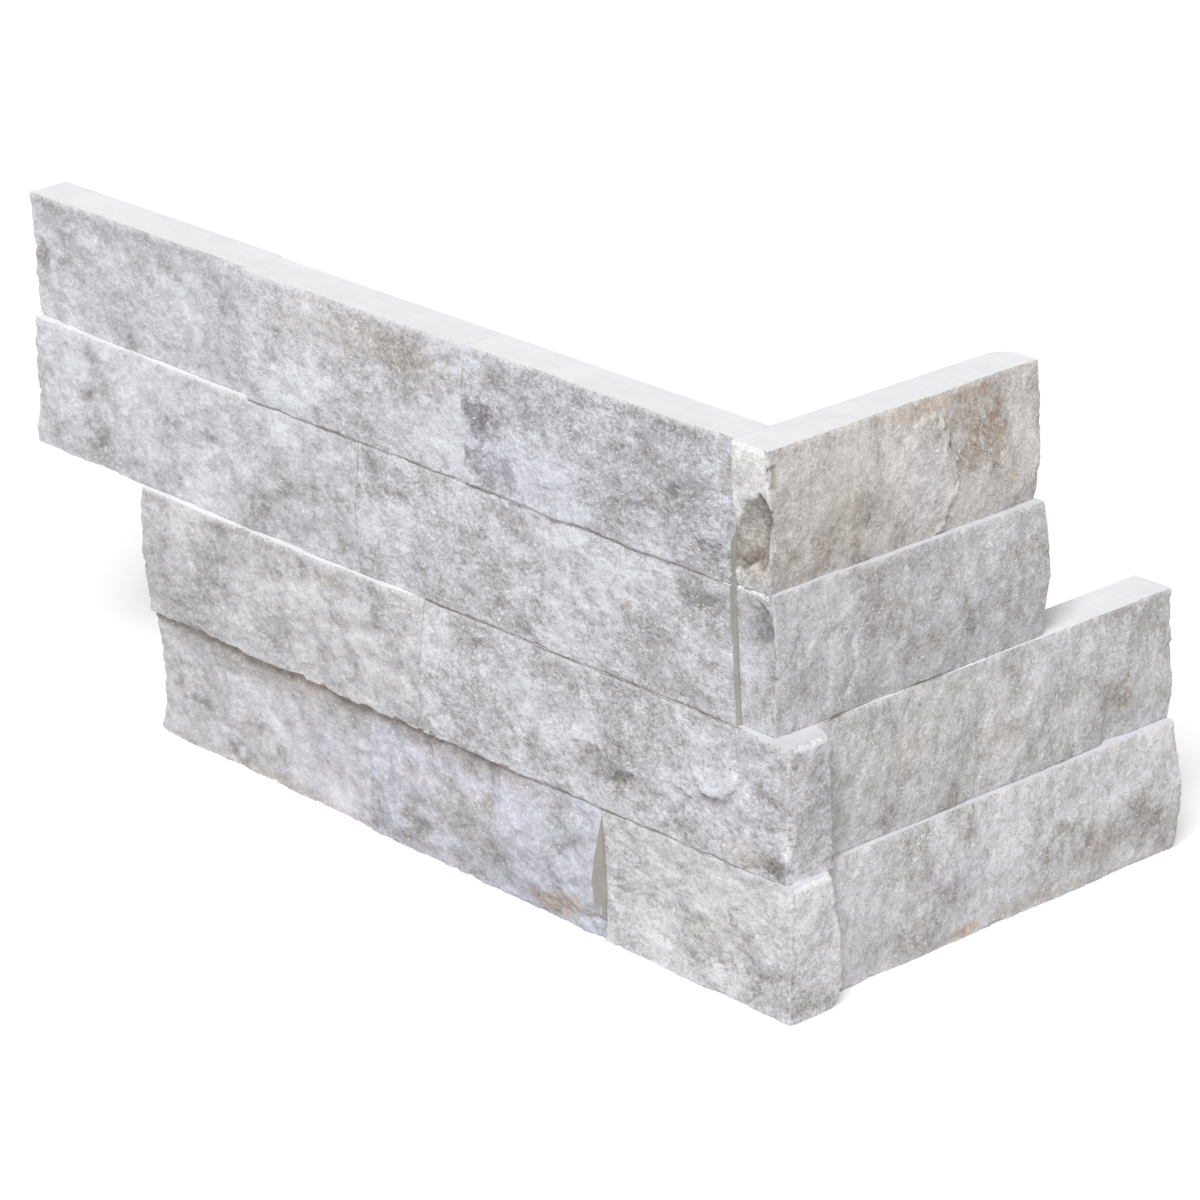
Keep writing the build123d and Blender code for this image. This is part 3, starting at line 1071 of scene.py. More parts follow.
    def survey(self) -> Face:
        """Casts the columns onto the CAD solid, and takes the creases of its facets off the split face.

        Returns:
            The face.
        """
        plan = self.columns()
        base = self.cast(plan)
        count, axis = len(base), 0 if self.front else 1
        split = slice(0, plan.face) if self.front else slice(count - plan.face, count)
        base[split] = soften(base[split], *self.creases)
        mean = base.mean(axis=1)
        run = np.concatenate([[0.0], np.cumsum(np.linalg.norm(np.diff(mean[:, :2], axis=0), axis=1))])
        anchor = plan.face - 1 if self.front else count - plan.face
        on_face = np.arange(count) <= anchor if self.front else np.arange(count) >= anchor
        along = np.where(on_face, mean[:, axis], run + (mean[anchor, axis] - run[anchor]))
        if not self.wraps:
            past = np.full_like(along, NO_END)
        elif self.front:
            past = along - along[anchor + self.fan_steps]
        else:
            past = along[anchor - self.fan_steps] - along
        grid, level = np.meshgrid(along, self.heights, indexing="ij")
        past = past[:, None] + np.zeros_like(grid)
        return Face(base, np.array(plan.inward), np.array(plan.rough)[:, None], on_face, grid, level, past)

    def ledges(self, face: Face) -> tuple[np.ndarray, np.ndarray]:
        """How far the strips above and below stand out past this one's arrises.

        Args:
            face: the face.

        Returns:
            Two arrays, one entry a column. Above: how far the upper strip stands out. Below: the lower strip.
        """
        off = -face.base[:, :, 1] if self.front else face.base[:, :, 0]
        upper, lower = np.zeros(len(off)), np.zeros(len(off))
        for column in np.flatnonzero(face.on_face):
            place = float(face.grid[column, 0])
            upper[column] = stand_off(self.side, self.above, place, self.high[2] + LEDGE_STEP) - off[column, -1]
            lower[column] = stand_off(self.side, self.below, place, self.low[2] - LEDGE_STEP) - off[column, 0]
        return upper[:, None], lower[:, None]

    def roughen(self, face: Face) -> tuple[np.ndarray, np.ndarray]:
        """Works out the face's relief with its flakes, calmer towards the upright arrises.

        Args:
            face: the face.

        Returns:
            Heights outwards, mm, and how dark the flakes' floors are.
        """
        (corner_left, corner_reach), (end_left, end_reach) = self.wear.corner_calm, self.wear.end_calm
        relief = self.relief.heights(face.grid, face.foot_gap, face.rise) * face.rough
        relief *= corner_left + (1.0 - corner_left) * np.clip(face.corner_gap / corner_reach, 0.0, 1.0)
        far, near = self.end_gaps(face)
        held = near if self.open_end else np.minimum(near, far)
        relief *= end_left + (1.0 - end_left) * np.clip(held / end_reach, 0.0, 1.0)
        pit = np.zeros_like(face.grid)
        for flake in self.flakes:
            depth, inside = flake.at(face.grid, face.level)
            relief = relief - depth
            pit = np.maximum(pit, flake.grime_and_shade * inside)
        return relief, pit

    def end_gaps(self, face: Face) -> tuple[np.ndarray, np.ndarray]:
        """Distances from the leg's open end and from the other end of the columns."""
        first, last = face.grid - face.grid[0], face.grid[-1] - face.grid
        return (first, last) if self.front else (last, first)

    def chip(self, face: Face) -> np.ndarray:
        """How far the face is nibbled back beside its arrises, and where it meets the next strip.

        Args:
            face: the face.

        Returns:
            Depths inwards, mm.
        """
        wear, chips = self.wear, self.relief.chips
        share = wear.least + (1.0 - wear.least) * face.rough
        foot = wear.met_foot if self.below else wear.free_foot
        worn = chips(face.grid, face.top_gap, Draw.TOP_CHIPS) * share
        worn += foot * chips(face.grid, face.foot_gap, Draw.FOOT_CHIPS) * share
        if self.open_end:
            worn += wear.open_end * chips(face.level, self.end_gaps(face)[0], Draw.END_CHIPS)
        worn += wear.corner * chips(face.level, face.corner_gap, Draw.CORNER_CHIPS)
        depth, reach = wear.end_rim
        worn += depth * smooth_step(0.0, END_BLEND, face.past) * smooth_step(reach, 0.0, face.top_gap)
        return worn + self.flush(face)

    def flush(self, face: Face) -> np.ndarray:
        """How far the face is worn back to meet its neighbour at the last column.

        Args:
            face: the face.

        Returns:
            Depths inwards, mm.
        """
        if not self.meets:
            return np.zeros(face.grid.shape)
        place, inset = self.high[0] + self.wear.flush_probe, self.wear.flush_inset
        neighbour = np.array([stand_off(self.side, (self.meets,), place, level) for level in self.levels(inset)])
        excess = np.clip(-face.base[-1, :, 1] - neighbour + inset, 0.0, None)
        along = face.grid[:, 0]
        fade = np.clip(1.0 - (along[-1] - along) / self.wear.flush_reach, 0.0, 1.0) ** 1.6
        return excess[None, :] * fade[:, None]

    def marks(
        self, face: Face, relief: np.ndarray, pit: np.ndarray, ledges: tuple[np.ndarray, np.ndarray]
    ) -> dict[str, np.ndarray]:
        """Works out the values that the material reads on the face's points.

        Args:
            face: the face.
            relief: its relief.
            pit: how dark the flakes' floors are.
            ledges: how far the strips above and below stand out, one row a column.

        Returns:
            The values by name, each from 0 to 1.
        """
        wear, seed, top_gap, (upper, lower) = self.wear, self.relief.seed, face.top_gap, ledges
        on_face = face.on_face[:, None]
        thick = 0.84 + 0.22 * Swell(4.0, 9.0, seed + Draw.LINE_THICKNESS).at(face.grid, face.flat)
        wide = 0.25 * Swell(7.0, 9.0, seed + Draw.LINE_WIDTH).at(face.grid, face.flat)
        # the joint lines, glue with painted shade in the gap, show where the neighbour's face is nearly flush
        met_above = on_face * bool(self.above) * smooth_step(-0.7, -0.1, upper)
        met_below = on_face * bool(self.below) * smooth_step(-1.3, -0.4, lower)
        met_below = met_below * (1.0 - 0.6 * smooth_step(0.3, 1.0, lower))
        joint = met_above * self.lines[1] * smooth_step(0.36, 0.02, top_gap - wide) * thick
        foot_line = met_below * self.lines[0] * smooth_step(0.50, 0.08, face.foot_gap - wide) * thick
        joint = np.maximum(joint, foot_line)
        for column, dark in zip((0, -1), self.seams):
            gap = np.abs(face.grid - face.grid[[column], :])
            joint = np.maximum(joint, dark * thick * smooth_step(0.35, 0.05, gap))
        # shade under the overhang of the course above
        sheltered = on_face * smooth_step(0.4, 2.2, upper)
        least, growth = wear.lee_reach
        lee_shadow = sheltered * np.clip(1.0 - top_gap / (least + growth * np.maximum(upper, 0.0)), 0.0, 1.0) ** 0.8
        # grime and painted shade where the relief lies below its surroundings
        small, large = wear.hollow_windows
        hollow_grime_and_shade = np.clip(-(blur(relief, small) - blur(relief, large)) / wear.hollow_depth, 0.0, 1.0)
        # painted highlight on the worn arrises: the upper one, fainter under a joint line, and those of the exposed
        # end
        arris = (1.0 - met_above) * smooth_step(wear.white_reach, 0.0, top_gap) * self.edge
        arris += 0.5 * met_above * self.lines[1] * smooth_step(0.3, 0.6, top_gap) * smooth_step(1.6, 0.8, top_gap)
        bright = 0.8 * smooth_step(0.55, 0.15, face.corner_gap)
        bright = bright + smooth_step(0.0, END_BLEND, face.past) * smooth_step(1.5, 0.7, top_gap)
        ragged = 0.9 * Swell(1.7, 1.4, seed + Draw.END_OUTLINE).at(face.grid, face.level)
        nicks = smooth_step(0.1, 0.7, Swell(2.2, 9.0, seed + Draw.NICKS).at(face.level, face.flat))
        nicked = 0.6 * nicks * smooth_step(0.1, 0.5, face.past) * smooth_step(1.5, 0.7, face.past)
        return {
            "hollow_grime_and_shade": hollow_grime_and_shade, "arris": np.maximum(arris, np.clip(bright, 0.0, 1.0)),
            "joint": np.clip(joint, 0.0, 1.0), "lee_shadow": lee_shadow,
            "end": smooth_step(-0.3, 0.5, face.past + ragged), "pit": np.maximum(pit, nicked),
        }

    def build(self, groups: Groups, sawn: list[bpy.types.Material]) -> bpy.types.Object:
        """Makes the strip's object.

        Args:
            groups: the shared node groups.
            sawn: the finishes of its sawn sides, in the order of Skin.

        Returns:
            The object, riding on its body in place of the CAD node.
        """
        face = self.survey()
        relief, pit = self.roughen(face)
        points = face.base.copy()
        points[:, :, :2] -= face.inward[:, None, :] * (relief - self.chip(face))[:, :, None]
        points = self.keep_ends(points)
        ledges = self.ledges(face)
        bites = Swell(*self.wear.bite, self.relief.seed + Draw.FOOT_BITES).at(face.grid, face.flat)
        hanging = smooth_step(-0.5, -1.2, ledges[1]) if self.below else 1.0
        lift = self.scallop * smooth_step(0.0, 0.9, bites) * hanging * face.on_face[:, None]
        points[:, :, 2] += lift * np.clip(1.0 - face.foot_gap / self.wear.bite_rise, 0.0, 1.0)
        return self.write(points, self.marks(face, relief, pit, ledges), groups, sawn)

    def keep_ends(self, points: np.ndarray) -> np.ndarray:
        """Sets the first and last column on the planes of the strip's ends, a hair's breadth off the neighbours.

        Args:
            points: points of the face, columns by rows by 3.

        Returns:
            The same points.
        """
        gap, low, high = self.joint_gap, self.low, self.high
        if self.front:
            points[0, :, 0] = low[0] + gap
            points[-1, :, 1 if self.wraps else 0] = 0.0 if self.wraps else high[0] - gap
        else:
            points[0, :, 0 if self.wraps else 1] = 0.0 if self.wraps else low[1] + gap
            points[-1, :, 1] = high[1]
        return points

    def write(
        self, face: np.ndarray, marks: dict[str, np.ndarray], groups: Groups, sawn: list[bpy.types.Material]
    ) -> bpy.types.Object:
        """Closes the stone behind its face and writes the mesh.

        Args:
            face: points of the face, columns by rows.
            marks: values kept on the face's points, by name.
            groups: the shared node groups.
            sawn: the finishes of the sawn sides, in the order of Skin.

        Returns:
            The object.
        """
        back, skins = self.back_columns(face)
        points = np.concatenate([face, back], axis=0)
        columns, rows = points.shape[:2]
        number = np.arange(columns * rows).reshape(columns, rows)
        following = np.roll(number, -1, axis=0)
        quads = np.stack(
            [number[:, :-1], following[:, :-1], following[:, 1:], number[:, 1:]], axis=-1
        ).reshape(-1, 4)
        caps = [number[::-1, 0].tolist(), number[:, -1].tolist()]
        mesh = bpy.data.meshes.new(f"{self.node}_stone")
        mesh.from_pydata((points.reshape(-1, 3) / METRE).tolist(), [], quads.tolist() + caps)
        column_skin = [Skin.SPLIT.value] * (len(face) - 1) + skins
        index = np.concatenate([np.repeat(column_skin, rows - 1), [Skin.SAWN.value, self.top.value]])
        split = self.finish.material(f"{self.node}_split", self.side, self.stains, groups)
        for material in (split, *sawn):
            mesh.materials.append(material)
        mesh.polygons.foreach_set("material_index", index.astype(np.int32))
        mesh.shade_smooth()
        for label, values in marks.items():
            spread = np.zeros((columns, rows), np.float32)
            spread[: len(face)] = values
            mesh.attributes.new(label, "FLOAT", "POINT").data.foreach_set("value", spread.reshape(-1))
        mesh.set_sharp_from_angle(angle=math.radians(self.sharp))
        for cap in mesh.polygons[-len(caps):]:
            cap.use_smooth = False
        mesh.validate()
        piece = link(mesh.name, mesh)
        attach(piece, BODY)
        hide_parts(self.node)
        return piece

    def back_columns(self, face: np.ndarray) -> tuple[np.ndarray, list[int]]:
        """Lays the sawn end and back columns that close the stone.

        Args:
            face: points of the face.

        Returns:
            Their points, columns by rows, and the skin of each stretch from the face's last column on.
        """
        (x0, y0, _), (x1, y1, _) = self.low, self.high
        if self.front:
            turns = [(x0, y1)] if self.wraps else [(x1 - self.joint_gap, y1), (x0, y1)]
        else:
            turns = [(0.0, y1)] if self.wraps else [(0.0, y1), (0.0, y0)]
        outline = self.rounded([tuple(face[-1, -1, :2]), *turns])
        flat = np.zeros_like(self.heights)
        corners = [np.stack([flat + x, flat + y, face[0, :, 2]], axis=-1) for x, y in outline]
        columns: list[np.ndarray] = []
        skins: list[int] = []
        for begin, end in zip([face[-1], *corners], [*corners, face[0]]):
            way = (end - begin)[:, :2].mean(axis=0)
            count = max(1, round(float(np.linalg.norm(way)) / self.sawn_spacing))
            columns += [begin + (end - begin) * share for share in np.linspace(0.0, 1.0, count + 1)[1:]]
            is_end = abs(way[0]) < abs(way[1]) if self.front else abs(way[0]) > abs(way[1])
            near = is_end and not skins and self.front and not self.meets
            skins += [(Skin.NEAR if near else Skin.END if is_end else Skin.SAWN).value] * count
        return np.array(columns[:-1]), skins

    def rounded(self, path: list[Pair]) -> list[Pair]:
        """Rounds the first turn of a path in plan.

        Args:
            path: the face's last point and the sawn corners after it.

        Returns:
            The path without its first point.
        """
        if self.back_radius <= 0.0 or len(path) < 3 and not self.wraps:
            return path[1:]
        before, corner = np.array(path[0]), np.array(path[1])
        after = np.array(path[2]) if len(path) > 2 else np.array((0.0, self.low[1]))
        into = (corner - before) / np.linalg.norm(corner - before)
        out = (after - corner) / np.linalg.norm(after - corner)
        centre = corner + (out - into) * self.back_radius
        reach = self.back_radius
        arc = [
            tuple(centre - out * reach * math.cos(turn) + into * reach * math.sin(turn))
            for turn in np.linspace(0.0, 0.5 * math.pi, 9)
        ]
        return arc + path[2:]


# The panel


def cool(red: int = 238, green: int = 238, blue: int = 246, level: float = 0.36, **others: float) -> SplitFinish:
    """Finish of a long-leg strip: its light tone, how much shade there is, and further values."""
    return SplitFinish(from_screen(red, green, blue), from_screen(156, 153, 150), level=level, **others)


def drawn(red: int = 238, green: int = 235, blue: int = 236, level: float = 0.38, **others: float) -> SplitFinish:
    """Finish of a short-leg strip, whose mottling is drawn upwards, with the same values."""
    light, shade = from_screen(red, green, blue), from_screen(160, 153, 147)
    return SplitFinish(light, shade, level=level, sparkle=0.08, drawn=(1.12, 1.12, 0.75), **others)


def long_strip(node: str, relief: Relief, finish: SplitFinish, **others: object) -> Strip:
    """Describes a strip of the long leg, with further values by name."""
    return Strip(node, Side.FRONT, relief, finish, **others)


def short_strip(node: str, seed: int, finish: SplitFinish, **others: object) -> Strip:
    """Describes a strip of the short leg: calmer, with steep strokes, and open at its far end.

    Args:
        node: its CAD node.
        seed: seed of its relief.
        finish: its colours.
        **others: further values of the strip.

    Returns:
        The strip.
    """
    relief = Relief(
        seed, lump=0.32, knoll=0.30, knoll_size=(7.0, 4.2), slant=1.38, facet=0.10, grain=0.12,
        grain_size=(1.5, 1.8), comb=0.04, calm=0.75,
    )
    return Strip(node, Side.RIGHT, relief, finish, edge=0.3, open_end=True, **others)


@dataclass
class LedgerCorner:
    """The four courses of the panel, from the top."""

    groups: Groups
    sawn: list[bpy.types.Material]

    def top_course(self) -> list[Strip]:
        """Describes the top course: the strips' relief, colours, breaks and stains.

        Returns:
            The strips, from the far end of the long leg.
        """
        return [
            long_strip(
                "top_course_left_strip", Relief(110), cool(crystal=0.25),
                seams=(0.0, 0.8), meets="top_course_middle_strip", open_end=True, back_radius=1.8,
                flakes=(
                    Flake((-250, 111), (54, 10), -0.8, (0.0, -1.0), 0.1),
                    Flake((-305, 113), (8.5, 5), 1.4, (0.0, -1.0), 0.2),
                ),
                stains=(
                    Stain((-305, 131), (5, 5.5), DARK, 0.8), Stain((-262, 118), (8, 5), SLATE),
                    Stain((-255, 147), (60, 5), SLATE, 0.35),
                ),
            ),
            long_strip(
                "top_course_middle_strip", Relief(210), cool(level=0.27, crystal=0.36),
                seams=(0.5, 0.0), meets="top_course_right_strip",
                stains=(
                    Stain((-150, 143), (44, 8), BEIGE, 0.75), Stain((-128, 140), (24, 6), BROWN, 0.45),
                    Stain((-165, 125), (34, 9), PALE, 0.30), Stain((-125, 119), (18, 6), PALE, 0.35),
                ),
            ),
            long_strip(
                "top_course_right_strip", Relief(310),
                cool(239, 239, 250, 0.43, cloud=1.4, crystal=0.40, sparkle=0.06), scallop=0.3,
                flakes=(
                    Flake((-99, 132), (9, 4.4), 0.6, (-0.6, 0.8), 0.5, 0.1),
                    Flake((-95, 118.5), (11, 5), 0.6, (-0.6, 0.8), 0.5, 0.1),
                    Flake((-9, 138), (11.5, 20), 1.7, (1.0, 0.0), 0.05), Flake((-9, 114), (11.5, 7), 0.6, (1.0, 0.0)),
                ),
                stains=(
                    Stain((-97, 132.5), (10, 5), SLATE, 0.95, 0.9), Stain((-101, 132), (4.5, 3), DARK, 0.45, 0.9),
                    Stain((-93, 118.5), (13, 5.5), SLATE, 0.95, 0.9), Stain((-99, 119.5), (6, 3), DARK, 0.45, 0.9),
                    Stain((-14, 134), (9, 9), SLATE, 0.5), Stain((-97, 127), (10, 12), SLATE, 0.45),
                    Stain((-45, 133), (12, 8), SLATE, 0.35),
                ),
            ),
            short_strip(
                "top_course_return_strip", 410, drawn(238, 233, 230, 0.40, end_tint=(1.33, 1.40, 1.45)),
                seams=(0.6, 0.0), lines=(0.1, 0.0), end_rough=0.22, back_radius=6.5,
                flakes=(
                    Flake((37, 127.5), (11, 17.5), -1.0, (1.0, 0.15), 0.12),
                    Flake((32, 112.5), (60, 5), 0.9, (0.0, -1.0), 0.2),
                    Flake((-19.6, 127), (11.5, 5.6), 2.6, (0.2, -1.0), 0.12, 0.85, 1.05),
                    Flake((-15.6, 128), (2.8, 9.5), 0.9, (1.0, 0.2), 0.25, 0.9),
                    Flake((-11.2, 142.5), (2, 3.6), 1.3, (-1.0, 0.3), 0.3, 0.25),
                ),
                stains=(
                    Stain((12, 127), (12, 11), BEIGE, 0.5), Stain((42, 147.5), (24, 3), TAN, 0.5),
                    Stain((61.5, 134), (6.5, 9), BROWN, 0.95, 0.9), Stain((52.5, 131.5), (5.5, 6.5), BROWN, 0.9, 0.9),
                    Stain((56, 142), (12, 6), BROWN, 0.6, 0.9), Stain((67.5, 121), (4, 4), BROWN, 0.6, 0.9),
                    Stain((20, 125), (5, 4), SLATE, 0.5, 0.9), Stain((3, 119.5), (7, 5), BROWN, 0.4, 0.9),
                    Stain((38, 128), (11, 15), (1.10, 1.12, 1.17), 0.75, 0.15),
                    Stain((72, 132), (6, 18), (1.08, 1.10, 1.13), 0.7, 0.3),
                    Stain((8, 113), (9, 4), SLATE, 0.5, 0.3, on_end=True),
                    # this brown patch paints the shade on the floor of the end's hollow
                    Stain((7.5, 119.5), (6.5, 5), BROWN, 0.8, 0.6, on_end=True),
                ),
            ),
        ]

    def second_course(self) -> list[Strip]:
        """Describes the second course.

        Returns:
            The strips.
        """
        return [
            long_strip(
                "second_course_left_strip", Relief(510), cool(level=0.33, crystal=0.24),
                seams=(0.0, 0.5), meets="second_course_right_strip", open_end=True,
                flakes=(Flake((-205, 73.5), (62, 10), -0.8, (0.0, -1.0), 0.1),),
                stains=(
                    Stain((-220.5, 97), (5, 2), DARK, 0.7), Stain((-180, 92.5), (6, 2.5), DARK, 0.6),
                    Stain((-295, 106), (3.5, 3), SLATE, 0.7), Stain((-219, 108), (7, 4), PALE, 0.5),
                ),
            ),
            long_strip(
                "second_course_right_strip", Relief(610), cool(level=0.37, cloud=1.7, crystal=0.40, sparkle=0.06),
                seams=(0.4, 0.0),
                flakes=(
                    Flake((-133.5, 102.5), (5.5, 2.2), 0.5, (0.1, -1.0)), Flake((-83, 107), (11, 5), 0.5, (0.2, 1.0)),
                    Flake((-4, 94), (14, 30), -0.5, (1.0, 0.0)),
                ),
                stains=(
                    # the DARK patches over the two flakes paint their shade
                    Stain((-83, 106.5), (11, 5.5), DARK, 0.55), Stain((-133, 102), (5, 1.8), DARK, 0.6),
                    Stain((-40, 97), (1.5, 1.5), TAN, 0.8), Stain((-30, 104), (12, 5), SLATE, 0.3),
                ),
            ),
            short_strip(
                "second_course_return_strip", 710, drawn(232, 230, 236, 0.43, end_tint=(1.06, 1.10, 1.13)),
                seams=(0.7, 0.0), lines=(1.0, 0.0), end_rough=0.55, top=Skin.LEDGE_IN_SHADE,
                flakes=(
                    Flake((5, 89), (8.5, 11), 0.5, (1.0, 0.15), 0.12), Flake((52, 86), (2.2, 4), 0.4, (0.6, 1.0)),
                    Flake((-18, 103.5), (4.2, 5.5), 1.2, (1.0, 0.6), 0.3, 0.4),
                    Flake((-14.4, 95), (1.7, 6.5), 0.8, (1.0, 0.0), 0.5, 0.35),
                ),
                stains=(
                    Stain((52, 86), (1.6, 3.5), DARK, 0.7), Stain((5, 89), (8.5, 10), PALE, 0.35, 0.2),
                    Stain((9, 103), (4, 5), DARK, 0.75, on_end=True),
                    Stain((11, 92), (2.2, 6), SLATE, 0.6, on_end=True),
                    Stain((5, 90), (4, 6), PALE, 0.4, on_end=True),
                ),
            ),
        ]

    def third_course(self) -> list[Strip]:
        """Describes the third course.

        Returns:
            The strips.
        """
        return [
            long_strip(
                "third_course_left_strip", Relief(810), cool(235, 234, 238, 0.39, cloud=1.3, crystal=0.26),
                seams=(0.0, 0.45), meets="third_course_corner_strip", open_end=True, scallop=0.8,
                stains=(
                    Stain((-214, 73), (6, 2.5), DARK, 0.55), Stain((-188, 66), (5, 2.5), DARK, 0.6),
                    Stain((-162, 71), (8, 3), BEIGE, 0.8), Stain((-217, 54), (8, 6), PALE, 0.4),
                    Stain((-246, 55), (8, 14), SLATE, 0.35),
                ),
            ),
            long_strip(
                "third_course_corner_strip", Relief(910, knoll=0.48),
                cool(239, 239, 247, 0.37, cloud=1.7, crystal=0.38, sparkle=0.06, end_tint=(1.07, 1.06, 1.06)),
                seams=(0.45, 0.0), end_rough=0.8, scallop=0.8, top=Skin.LEDGE_IN_SHADE,
                flakes=(
                    Flake((-8, 62.5), (9, 8), -1.8, (0.9, -1.0), 0.12),
                    Flake((-52, 50.5), (12, 5), 0.6, (0.3, 1.0), 0.4, 0.2),
                    Flake((-26, 49), (8, 4.5), 1.0, (1.0, -0.2)),
                    Flake((13, 41.2), (5.5, 2.6), 0.4, (0.3, -1.0), 0.8, 0.4),
                ),
                stains=(
                    Stain((-52, 50.5), (12, 5), DARK, 0.65), Stain((3, 70), (9, 6), SLATE, 0.5),
                    Stain((6, 42), (10, 4.5), BEIGE, 0.7), Stain((12.5, 40.8), (4.5, 2.8), DARK, 1.0, 0.9),
                    Stain((-104, 43), (8, 3), SLATE, 0.6), Stain((-88, 66), (9, 5), SLATE, 0.5),
                    Stain((-10, 56), (9, 5), PALE, 0.35), Stain((-8, 48), (5, 14), BROWN, 0.35, on_end=True),
                ),
            ),
            short_strip(
                "third_course_return_strip", 1010, drawn(236, 235, 238, 0.38),
                stains=(
                    Stain((91, 48), (9, 7), PALE, 0.45), Stain((107, 50), (5, 6), BROWN, 0.75),
                    Stain((30, 60), (10, 8), BEIGE, 0.5), Stain((62, 52), (9, 6), BEIGE, 0.5),
                ),
            ),
        ]

    def bottom_course(self) -> list[Strip]:
        """Describes the bottom course.

        Returns:
            The strips.
        """
        return [
            long_strip(
                "bottom_course_left_strip", Relief(1110), cool(236, 235, 242, 0.38, crystal=0.16),
                seams=(0.0, 0.3), meets="bottom_course_middle_strip", open_end=True, scallop=0.6,
                flakes=(Flake((-219, 5), (5, 2.6), 0.6, (0.3, 1.0)),),
                stains=(
                    Stain((-219, 4), (4, 2.5), DARK, 0.8), Stain((-209, 12), (6, 7), BROWN, 0.5),
                    # the brown band at 32 mm paints the shadow under the third course's overhang, and the one at the
                    # foot paints warm light bounced from below
                    Stain((-174, 18), (14, 7), LILAC, 0.7), Stain((-200, 32), (50, 5), BROWN, 0.55),
                    Stain((-200, 1), (50, 2.5), BROWN, 0.5),
                ),
            ),
            long_strip(
                "bottom_course_middle_strip", Relief(1210, knoll=0.50), cool(236, 238, 253, 0.40, crystal=0.24),
                seams=(0.3, 0.0), scallop=0.6,
                flakes=(Flake((-98, 24), (6, 4), 0.6, (0.4, 1.0)), Flake((-53.5, 2), (5, 5), 1.6, (1.0, 0.0), 0.1)),
                stains=(
                    # the brown band at 33 mm paints the shadow under the overhang above; the tan and beige bands at
                    # the foot paint warm light bounced from below
                    Stain((-118, 20), (26, 14), (0.97, 0.92, 0.87), 0.8), Stain((-98, 24), (5, 3.5), BROWN, 0.7),
                    Stain((-72, 4), (13, 4.5), TAN, 0.9), Stain((-100, 33), (45, 4), BROWN, 0.45),
                    Stain((-62, 8), (9, 3), TAN, 0.8), Stain((-120, 3), (25, 3), BEIGE, 0.6),
                ),
            ),
            long_strip(
                "bottom_course_corner_strip", Relief(1310),
                cool(238, 238, 242, 0.33, cloud=1.3, crystal=0.38, sparkle=0.06, end_tint=(1.13, 1.12, 1.12)),
                seams=(0.4, 0.0), end_rough=0.6, scallop=0.6, top=Skin.LEDGE_IN_SHADE,
                flakes=(Flake((-8, 14), (11, 6), 0.5, (0.5, -1.0)), Flake((-45, 17), (4, 9), 0.4, (-1.0, 0.0))),
                stains=(
                    Stain((-8, 16), (11, 7), BEIGE, 0.5), Stain((-44, 16), (4, 8), SLATE, 0.5),
                    Stain((-30, 10), (9, 5), PALE, 0.3),
                ),
            ),
            short_strip(
                "bottom_course_return_strip", 1410, drawn(240, 238, 242, 0.34), scallop=0.4, top=Skin.LEDGE_IN_SHADE,
                stains=(
                    # the tan and beige bands at the foot paint warm light bounced from below
                    Stain((96, 12), (9, 7), BROWN, 0.6), Stain((49, 2), (7, 2), TAN, 0.9),
                    Stain((75, 3), (25, 2), BEIGE, 0.7), Stain((45, 20), (16, 8), LILAC, 0.7),
                ),
            ),
        ]

    def build(self) -> list[bpy.types.Object]:
        """Builds every strip and reports it.

        Returns:
            The strips' objects.
        """
        courses = [self.top_course(), self.second_course(), self.third_course(), self.bottom_course()]
        nodes = [(), *(tuple(strip.node for strip in course) for course in courses), ()]
        pieces = []
        for course, above, below in zip(courses, nodes, nodes[2:]):
            for strip in course:
                strip.above, strip.below = above, below
                piece = strip.build(self.groups, self.sawn)
                LOG.info("%s: %d faces", piece.name, len(piece.data.polygons))
                pieces.append(piece)
        return pieces


# Floor, light and camera


